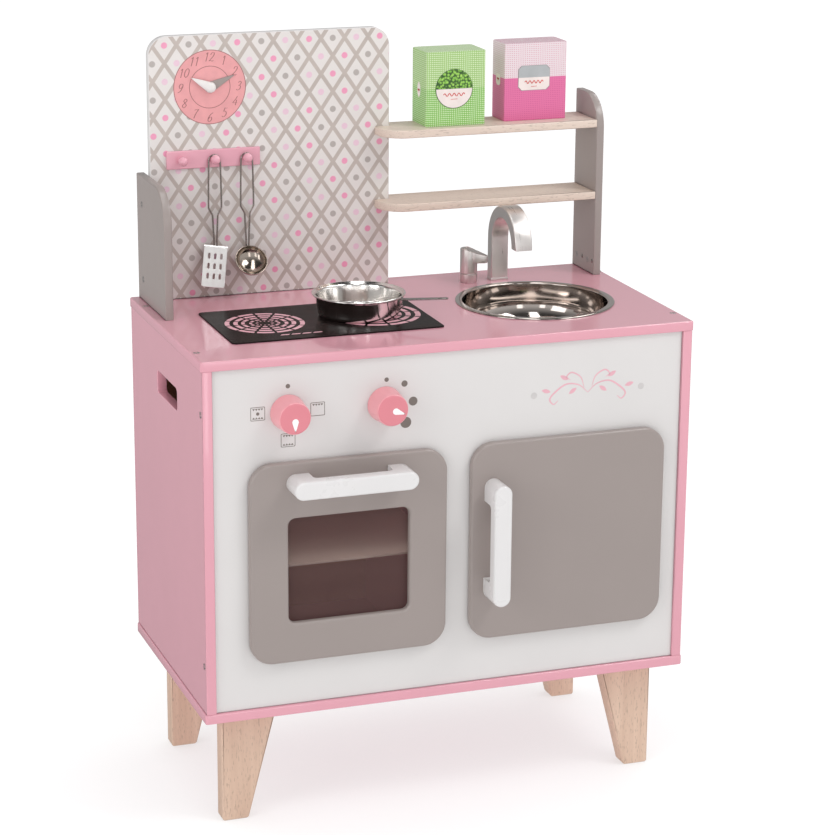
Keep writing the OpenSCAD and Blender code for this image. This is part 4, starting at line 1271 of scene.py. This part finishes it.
def add_pan():
    """Spun steel pan: flat floor, rounded foot, a wall that widens upwards and a rolled rim; a curved
    plate on the wall carries a flat bar handle with a hanging hole."""
    (x0, _, z0), (x1, _, z1) = span("pan_body")
    c = middle("pan_body")
    outer, tall = (x1 - x0) / 2, z1 - z0
    roll = 1.05
    foot = PAN_FOOT_R
    inside = np.concatenate([[(0, 1)], arc(foot - 5, 5, 4, -90, 0, 8), [(foot + 1.3, 20.2)],
                             arc(foot + 4.4, 20.6, 3, 172, 110, 5)])
    rim = arc(outer - roll, tall - roll, roll, 130, -80, 12)
    outside = np.concatenate([[(foot + 3.4, 21.9), (foot + 2.6, 20.9)], arc(foot - 5, 5, 5, 0, -90, 8),
                              [(20, 0), (19.6, 0.25), (19, 0.25), (18.6, 0), (0, 0)]])
    made = lathe(np.concatenate([inside, rim, outside]), upright(c[0], c[1], z0), 160)
    piece("pan_spun", made, [pan_steel], "pan", ["pan_body"], "polished_steel", sharp=40)
    place = turned(30, upright(c[0], c[1], z0))
    half_wide, low, high, thick = 8.5, 7.2, 19.3, 1.3
    across = np.linspace(-1, 1, 17)[:, None]
    up = np.linspace(0, 1, 9)[None]
    height = low + (high - low) * up
    edge = np.sqrt(np.clip(1 - (np.clip(np.abs(across) - 0.82, 0, None) / 0.18) ** 2 * 0.25, 0, 1))
    height = (height - (low + high) / 2) * edge + (low + high) / 2
    angle = across * half_wide / 45
    near = pan_wall_at(height) - 0.3
    far = pan_wall_at(height) + thick
    skins = [place(r * np.cos(angle), r * np.sin(angle), height) for r in (far, near)]
    plate = grid(np.concatenate([skins[0], skins[1][:, ::-1]], 1), loop_v=True)
    caps = grid(np.stack([skins[0][0], skins[1][0]])), grid(np.stack([skins[0][-1], skins[1][-1]]))
    start, rise = 45.6, np.tan(np.radians(4))
    length, half = 97.3, 3.5
    bar_loop = outline([(start, -half), (length, -half), (length, half), (start, half)],
                       [0.1, 3.2, 3.2, 0.1])

    def raised(u, v, w):
        return place(u, v, w + 18 + (u - start) * rise)
    bar = slab(bar_loop, 0, 1.5, raised, (0.35, 0.45), [ring(length - 8.8, 0, 1.7, 32)], steps=3)
    bolt_head = [(0, -0.2), (1.5, -0.2), (1.5, 0.3), (0.9, 0.75), (0, 0.9)]
    plate_r = pan_wall_at(BOLT_UP) + thick
    bolts = []
    for a in (-0.11, 0.11):
        spot = place(plate_r * np.cos(a), plate_r * np.sin(a), BOLT_UP)
        bolts.append(lathe(bolt_head, rotated(spot, ("y", 90), ("z", np.degrees(a) - 30)), 24))
    made = join([plate, *caps, bar, *bolts])
    piece("pan_grip", made, [handle_steel], "pan", ["pan_handle"], "polished_steel")


def rotated(origin, *turns):
    """Places a shape at a point after turning it about X, Y or Z by angles in degrees, in order."""
    matrix = np.eye(3)
    for axis, degrees in turns:
        matrix = np.array(Matrix.Rotation(np.radians(degrees), 3, axis.upper())) @ matrix

    def place(u, v, w):
        points = np.stack(np.broadcast_arrays(np.asarray(u, float), v, w), -1)
        return points @ matrix.T + origin
    return place


# ---- Spatula and ladle ----

# Half widths of the wire loop and how far each lies below the loop's top
WIRE_LEG = [(1.5, 105.7), (1.5, 101.2), (1.7, 95.2), (2.2, 83), (2.8, 70.2), (3.3, 67.0), (4.9, 63.6),
            (6.8, 60.2), (7.3, 57.0), (7.2, 44), (6.9, 26), (6.5, 10)]
WIRE_R = 0.95
LOOP_R = 6.4


def add_wire(node, body):
    """Bent wire: two legs that start close together, part in a soft double bend and meet in a half ring."""
    (x0, y0, _), (x1, y1, z1) = span(node)
    x, y = (x0 + x1) / 2, (y0 + y1) / 2
    top = z1 - WIRE_R
    leg = np.array(WIRE_LEG) * [1, -1] + [0, WIRE_R]
    left = leg * [-1, 1]
    loop = arc(0, -LOOP_R, LOOP_R, 172, 8, 16)
    flat = smooth_path(np.concatenate([left, loop, leg[::-1]]), 4)
    path = np.stack([x + flat[:, 0], np.full(len(flat), y), top + flat[:, 1]], -1)
    piece(node + "_wire", tube(path, WIRE_R, (0, 1, 0), 14), [wire_steel], body, [node], "polished_steel")


def add_spatula():
    """Slotted blade: rounded corners, three by three upright slots, and a lip bent back at its top."""
    wire_low, wire_high = span("spatula_handle")
    x = (wire_low[0] + wire_high[0]) / 2
    y = (wire_low[1] + wire_high[1]) / 2 - WIRE_R
    z = span("spatula_blade")[1][2]
    place = rotated((x, y, z - 1.8), ("x", -12), ("y", 9))
    slots = [box_outline(u - 1.2, u + 1.2, v - 3.1, v + 3.1, 1.15, 5)
             for u in (-7, 0, 7) for v in (-11, -22, -33)]

    def front(u, v, w):
        return place(u, -w, v)
    blade = slab(box_outline(-13.5, 13.5, -45, -1.2, [2.5, 2.5, 0.6, 0.6]), 0, 1, front, (0.3, 0.35), slots)
    bend = np.radians(np.linspace(0, 70, 8))
    across = np.linspace(-13.5, 13.5, 9)[:, None]
    skins = [front(across + 0 * bend, -1.2 + (r + 2) * np.sin(bend) + 0 * across,
                   (r + 2) * np.cos(bend) - 2 + 0 * across) for r in (1.0, 0.0)]
    lip = grid(np.concatenate([skins[0], skins[1][:, ::-1]], 1), loop_v=True)
    ends = grid(np.stack([skins[0][0], skins[1][0]])), grid(np.stack([skins[0][-1], skins[1][-1]]))
    weld = lathe([(0, -0.5), (1.6, -0.3), (1.8, 0.2), (1.2, 0.8), (0, 1)], front_at(place, 0, -3.2), 24)
    piece("spatula_pressing", join([blade, lip, *ends, weld]), [blade_steel], "spatula", ["spatula_blade"],
          "polished_steel", sharp=45)


def front_at(place, u0, v0):
    """A place whose w runs to the front of another place, from a point on it."""
    return lambda u, v, w: place(u + u0, -w, v + v0)


def add_ladle():
    """Round scoop, half an ellipse in section with a rolled rim, its mouth turned forward and up."""
    wire_low, wire_high = span("ladle_handle")
    x = (wire_low[0] + wire_high[0]) / 2
    y = (wire_low[1] + wire_high[1]) / 2 - WIRE_R - 2
    radius, deep, thick = 18.0, 12.0, 0.9
    place = rotated((x, y, 573), ("x", 50))
    a = np.radians(np.linspace(0, 90, 20))
    inner = np.stack([(radius - thick) * np.cos(a[::-1]), (thick - deep) * np.sin(a[::-1])], -1)
    outer = np.stack([radius * np.cos(a), -deep * np.sin(a)], -1)
    rim = arc(radius - 0.45, 0, 0.62, 180, 0, 8)
    made = lathe(np.concatenate([inner, rim, outer]), lambda u, v, w: place(u, v - radius, w), 96)
    piece("ladle_scoop", made, [ladle_steel], "ladle", ["ladle_bowl"], "polished_steel", sharp=50)


# ---- Cartons ----


def dense(loop, step):
    """An outline with points added so that none are further apart than a step."""
    closed = np.concatenate([loop, loop[:1]])
    run = np.concatenate([[0], np.cumsum(np.linalg.norm(np.diff(closed, axis=0), axis=1))])
    spots = np.union1d(run, np.arange(0, run[-1], step))[:-1]
    return np.stack([np.interp(spots, run, closed[:, k]) for k in (0, 1)], -1)


def carton_skin(x0, x1, y0, y1, z0, z1, give):
    """Card box whose faces bulge a little: its outline goes up in rings, each drawn in by an amount that
    is greatest at the corners and at the ends, and nothing in the middle of a face."""
    loop = dense(box_outline(x0, x1, y0, y1, 0.9, 4), 4)
    s = np.linspace(0, 1, 25)
    bell = np.sin(np.pi * s)[:, None]
    u = (loop[:, 0] - (x0 + x1) / 2) / ((x1 - x0) / 2)
    v = (loop[:, 1] - (y0 + y1) / 2) / ((y1 - y0) / 2)
    end = np.where((s < 0.001) | (s > 0.999), 0.5, 0)[:, None]
    x = loop[:, 0] - np.sign(u) * np.abs(u) ** 9 * (give * (1 - (1 - v**2) * bell) + end)
    y = loop[:, 1] - np.sign(v) * np.abs(v) ** 9 * (give * (1 - (1 - u**2) * bell) + end)
    level = np.interp(s, [0, s[1], s[-2], 1], [z0, z0 + 0.5, z1 - 0.5, z1])
    rings = np.stack([x, y, level[:, None] + 0 * x], -1)
    return skin(rings)


def squiggle(u, v, wide, tall, place):
    """Plain wavy ornament: a sine wave drawn with a broad pen, with a short bar under it."""
    s = np.linspace(0, 1, 60)
    wave = np.stack([u + (s - 0.5) * wide, v + tall * 0.5 * np.sin(s * 9 * np.pi)], -1)
    widths = 0.55 + 0.5 * np.abs(headings(wave)[:, 1])
    bar = np.array([(u - wide * 0.16, v - tall * 1.6), (u + wide * 0.16, v - tall * 1.5)])
    return join([pen_line(wave, widths, INK, place), pen_line(bar, 0.5, INK, place)])


def flat_label(loop, place, lift=0.0):
    """Thin printed sticker over an outline."""
    return slab(loop, lift - 0.1, lift + INK, place, (0, 0.06), steps=1)


def half_disc(u, v, radius, upper):
    """Outline of the upper or lower half of a circle."""
    return tidy(arc(u, v, radius, 0, 180, 40) if upper else arc(u, v, radius, 180, 360, 40))


def label_places(node, face_up, side_up):
    """Where a carton's labels go: its front, a little off the front, its left side and a little off that."""
    (x0, y0, z0), (x1, y1, _) = span(node)
    middle_x, middle_y = (x0 + x1) / 2 - 2, (y0 + y1) / 2

    def on_side(off):
        """Placement on the left side: u runs towards the front, v up and w outwards."""
        return lambda u, v, w: np.stack([x0 + 0.05 - off - w, middle_y - u, z0 + side_up + v], -1)

    fronts = [facing(middle_x, y0 + 0.02 - off, z0 + face_up) for off in (0, 2 * INK)]
    return *fronts, on_side(0), on_side(0.2)


def add_cartons():
    """Two closed cartons with tuck flaps on top, a printed pattern, and blank labels: a round one with a
    heap of peas, and one with cut corners."""
    for node, body, card, slot in (("carton_green", "green_carton", green_card, "green_card"),
                                   ("carton_pink", "pink_carton", pink_card, "pink_card")):
        (x0, y0, z0), (x1, y1, z1) = span(node)
        box = carton_skin(x0, x1, y0, y1, z0, z1 - 0.35, 0.45)
        flap = slab(box_outline(x0 + 0.5, x1 - 0.5, y0 + 0.5, y1 - 0.7, [1, 1, 4, 4], 5), z1 - 0.45, z1,
                    upright(), (0, 0.2), steps=2)
        tuck = slab(box_outline(x0 + 7, x1 - 7, y1 - 4.2, y1 - 0.4, 1), z1 - 0.45, z1 - 0.05, upright(),
                    (0, 0.1), steps=1)
        piece(node + "_box", join([box, flap, tuck]), [card], body, [node], slot, sharp=40)
    face, above_face, side, above_side = label_places("carton_green", 41.5, 39)
    body, radius = "green_carton", 21.2
    eye = np.concatenate([arc(-5.6, 0, 10.6, -58, 58, 12), arc(5.6, 0, 10.6, 122, 238, 12)])
    piece("green_label_rim", flat_label(ring(0, 0, radius + 0.7, 72), face), [label_green], body)
    piece("green_label_low", flat_label(half_disc(0, 0, radius, False), face, INK), [label_white], body)
    piece("green_label_peas", flat_label(half_disc(0, 0.3, radius, True), face, INK), [peas], body)
    marks = join([squiggle(0, -6.5, 25, 3.2, above_face), squiggle(0, -0.5, 6, 1.6, above_side)])
    piece("green_label_side", flat_label(eye, side), [label_white], body)
    piece("green_label_mark", marks, [label_red], body)
    face, above_face, side, above_side = label_places("carton_pink", 47.7, 45)
    body, ticket = "pink_carton", notched(-18.5, 18.5, -13.5, 13.5, 4)
    piece("pink_label_rim", flat_label(notched(-19, 19, -14, 14, 4), face), [label_line_grey], body)
    piece("pink_label_low", flat_label(ticket, face, INK), [label_white], body)
    upper = np.array([(-18.5, 0.6), (18.5, 0.6), (18.5, 9.5), (14.5, 13.5), (-14.5, 13.5), (-18.5, 9.5)])
    piece("pink_label_top", flat_label(upper, above_face), [sugar], body)
    marks = join([squiggle(0, -4.6, 22, 3.2, above_face), squiggle(0, 0.5, 6, 1.6, above_side)])
    piece("pink_label_mark", marks, [label_red], body)
    piece("pink_label_side", flat_label(notched(-6, 6, -6.5, 6.5, 2.5), side), [label_white], body)


def notched(u0, u1, v0, v1, cut):
    """Rectangle with its corners cut off."""
    return np.array([(u0 + cut, v0), (u1 - cut, v0), (u1, v0 + cut), (u1, v1 - cut), (u1 - cut, v1),
                     (u0 + cut, v1), (u0, v1 - cut), (u0, v0 + cut)], float)


# ---- Stage, light and camera ----

# Floor glow in the open and where shaded; the dimmer shaded glow, reaching SHADE_REACH metres, is a painted
# shadow
FLOOR_GLOW = 0.84
FLOOR_SHADED = 0.60
SHADE_REACH = 0.4
WORLD_LIGHT = 0.72
WORLD_GLOSS = 0.5
WORLD_ROOF = 0.05
CAMERA_AT = (-0.95354, -2.64055, 1.22069)
# Lights, in metres and watts: name, place, size, power, and the point each is aimed at. The small one in
# the oven lights the shelf behind the pane.
LIGHTS = (("key", (1.5, -1.4, 2.8), (1.0, 1.0), 27, (0, 0, 0.4)),
          ("oven_glow", (-0.1165, -0.100, 0.325), (0.2, 0.01), 0.018, (-0.1165, -0.097, 0.2)),
          ("left_fill", (-2.4, -1.2, 1.3), (1.2, 1.6), 14, (0, 0, 0.4)))
# Cards that only reflections see, in mm: name, centre, width, height, strength.
CARDS = (("left_strip", (-1500, -2300, 900), 420, 1500, 2.5),
         ("right_strip", (250, -2600, 900), 420, 1500, 2.5),
         ("roof_right", (1250, 100, 1950), 2600, 420, 4.0),
         ("roof_left", (-80, -300, 2300), 420, 2600, 4.0))


def stage_floor():
    """Pale studio floor that glows, so that it runs out to white, and glows less where the room above it
    is closed off: a painted shadow under and round the kitchen."""
    s = np.linspace(-12000, 12000, 13)
    u, v = np.meshgrid(s, s, indexing="ij")
    f = Finish("studio_floor", Roughness=0.8)
    f.shader.inputs["Emission Color"].default_value = (1, 1, 1, 1)
    f.node("ShaderNodeAmbientOcclusion", {"Distance": SHADE_REACH}, samples=16)
    # Glow dimmed by ambient occlusion: a painted shadow under and round the kitchen
    glow = f.between(f.tree.nodes["Ambient Occlusion"].outputs["AO"], 0.25, 1.0, FLOOR_SHADED, FLOOR_GLOW)
    f.tree.links.new(glow, f.shader.inputs["Emission Strength"])
    colour = mottled(f, (0.3, 0.3, 0.3, 1), 2, 0.003)
    floor = piece("studio_floor", grid(np.stack([u, v, 0 * u - 0.3], -1)), [f.done(colour)], None)
    floor.visible_glossy = False


def stage_card(name, centre, wide, tall, strength, towards=(0, 0, 400)):
    """Lit or dark card that only reflections see: a flat sheet whose front faces a point."""
    c, aim = np.array(centre, float), np.array(towards, float)
    out = (aim - c) / np.linalg.norm(aim - c)
    side = np.cross((0, 0, 1), out)
    side /= np.linalg.norm(side)
    up = np.cross(out, side)
    u, v = np.meshgrid(np.linspace(-0.5, 0.5, 3) * wide, np.linspace(-0.5, 0.5, 3) * tall, indexing="ij")
    points = c + u[..., None] * side + v[..., None] * up
    f = Finish(name + "_light", Roughness=1.0)
    f.shader.inputs["Base Color"].default_value = (0, 0, 0, 1)
    f.shader.inputs["Specular IOR Level"].default_value = 0
    f.shader.inputs["Emission Color"].default_value = (1, 1, 1, 1)
    f.shader.inputs["Emission Strength"].default_value = strength
    card = piece(name, grid(points), [f.material], None)
    card.visible_camera = False
    card.visible_diffuse = False
    card.visible_shadow = False


def soft_light(name, place, size, power, aim):
    """Rectangular area light aimed at a point, in metres and watts."""
    lamp = bpy.data.lights.new(name, "AREA")
    lamp.shape = "RECTANGLE"
    lamp.size, lamp.size_y = size
    lamp.energy = power
    thing = bpy.data.objects.new(name, lamp)
    thing.location = place
    thing.rotation_mode = "QUATERNION"
    thing.rotation_quaternion = (Vector(aim) - Vector(place)).to_track_quat("-Z", "Y")
    bpy.context.scene.collection.objects.link(thing)


def add_world():
    """Even white light all round for matt surfaces. Reflections see another room: dark overhead, a little
    dimmer below, and brighter in front than behind."""
    world = bpy.data.worlds.new("studio")
    world.use_nodes = True
    bpy.context.scene.world = world
    tree = world.node_tree
    back = tree.nodes["Background"]
    back.inputs["Color"].default_value = (1, 1, 1, 1)
    rays = tree.nodes.new("ShaderNodeLightPath")
    towards = tree.nodes.new("ShaderNodeTexCoord")
    apart = tree.nodes.new("ShaderNodeSeparateXYZ")
    tree.links.new(towards.outputs["Generated"], apart.inputs[0])

    def eased(value, *ends):
        """One range of a value stretched to another, held at its ends."""
        made = tree.nodes.new("ShaderNodeMapRange")
        tree.links.new(value, made.inputs[0])
        for k, end in enumerate(ends):
            made.inputs[k + 1].default_value = end
        return made.outputs[0]

    def times(a, b):
        """Two values multiplied."""
        made = tree.nodes.new("ShaderNodeMath")
        made.operation = "MULTIPLY"
        tree.links.new(a, made.inputs[0])
        tree.links.new(b, made.inputs[1])
        return made.outputs[0]

    overhead = eased(apart.outputs["Z"], 0.3, 0.75, WORLD_GLOSS, WORLD_ROOF)
    underneath = eased(apart.outputs["Z"], -0.4, -0.05, 0.6, 1)
    front_to_back = eased(apart.outputs["Y"], -0.4, 0.5, 1.4, 0.85)
    room = times(overhead, times(underneath, front_to_back))
    strength = tree.nodes.new("ShaderNodeMapRange")
    tree.links.new(rays.outputs["Is Glossy Ray"], strength.inputs[0])
    strength.inputs[3].default_value = WORLD_LIGHT
    tree.links.new(room, strength.inputs[4])
    tree.links.new(strength.outputs[0], back.inputs["Strength"])


def add_camera():
    """Long lens from the front left, a little above; angles in radians."""
    yaw, pitch, roll = 0.3389, 0.2851, 0.0052
    look = np.array([np.sin(yaw) * np.cos(pitch), np.cos(yaw) * np.cos(pitch), -np.sin(pitch)])
    right = np.array([np.cos(yaw), -np.sin(yaw), 0])
    up = np.cross(right, look)
    right, up = np.cos(roll) * right + np.sin(roll) * up, np.cos(roll) * up - np.sin(roll) * right
    lens = bpy.data.cameras.new("camera")
    lens.lens = 115.77
    lens.sensor_width = 36
    lens.shift_x = 0.0266
    lens.shift_y = 0.001
    lens.clip_start, lens.clip_end = 0.1, 100
    camera = bpy.data.objects.new("camera", lens)
    bpy.context.scene.collection.objects.link(camera)
    turn = Matrix([[*row] for row in np.stack([right, up, -look], -1)]).to_4x4()
    camera.matrix_world = Matrix.Translation(CAMERA_AT) @ turn
    bpy.context.scene.camera = camera


# ---- Everything in order ----

add_worktop()
add_base()
add_sides()
add_front()
add_inside()
add_legs()
add_doors()
add_handle("oven_handle", "oven_door_body", True)
add_handle("cupboard_handle", "cupboard_door_body", False)
for group in ("carcass", "leg", "post", "shelf", "tap"):
    add_screws(group + "_screws", "cabinet")
add_screws("oven_handle_screws", "oven_door_body")
add_screws("cupboard_handle_screws", "cupboard_door_body")
add_catches()
keep_small_metal()
add_posts()
add_back_board()
add_shelves()
add_pegs()
add_clock()
add_hands()
add_knob("oven_knob", "oven_knob_body", 0)
add_knob("hob_knob", "hob_knob_body", -70)
add_marks()
add_hob()
add_sink()
add_tap()
add_lever()
add_pan()
add_wire("spatula_handle", "spatula")
add_wire("ladle_handle", "ladle")
add_spatula()
add_ladle()
add_cartons()

bpy.context.scene.view_settings.view_transform = "Standard"
stage_floor()
add_world()
for light in LIGHTS:
    soft_light(*light)
for card in CARDS:
    stage_card(*card)
add_camera()
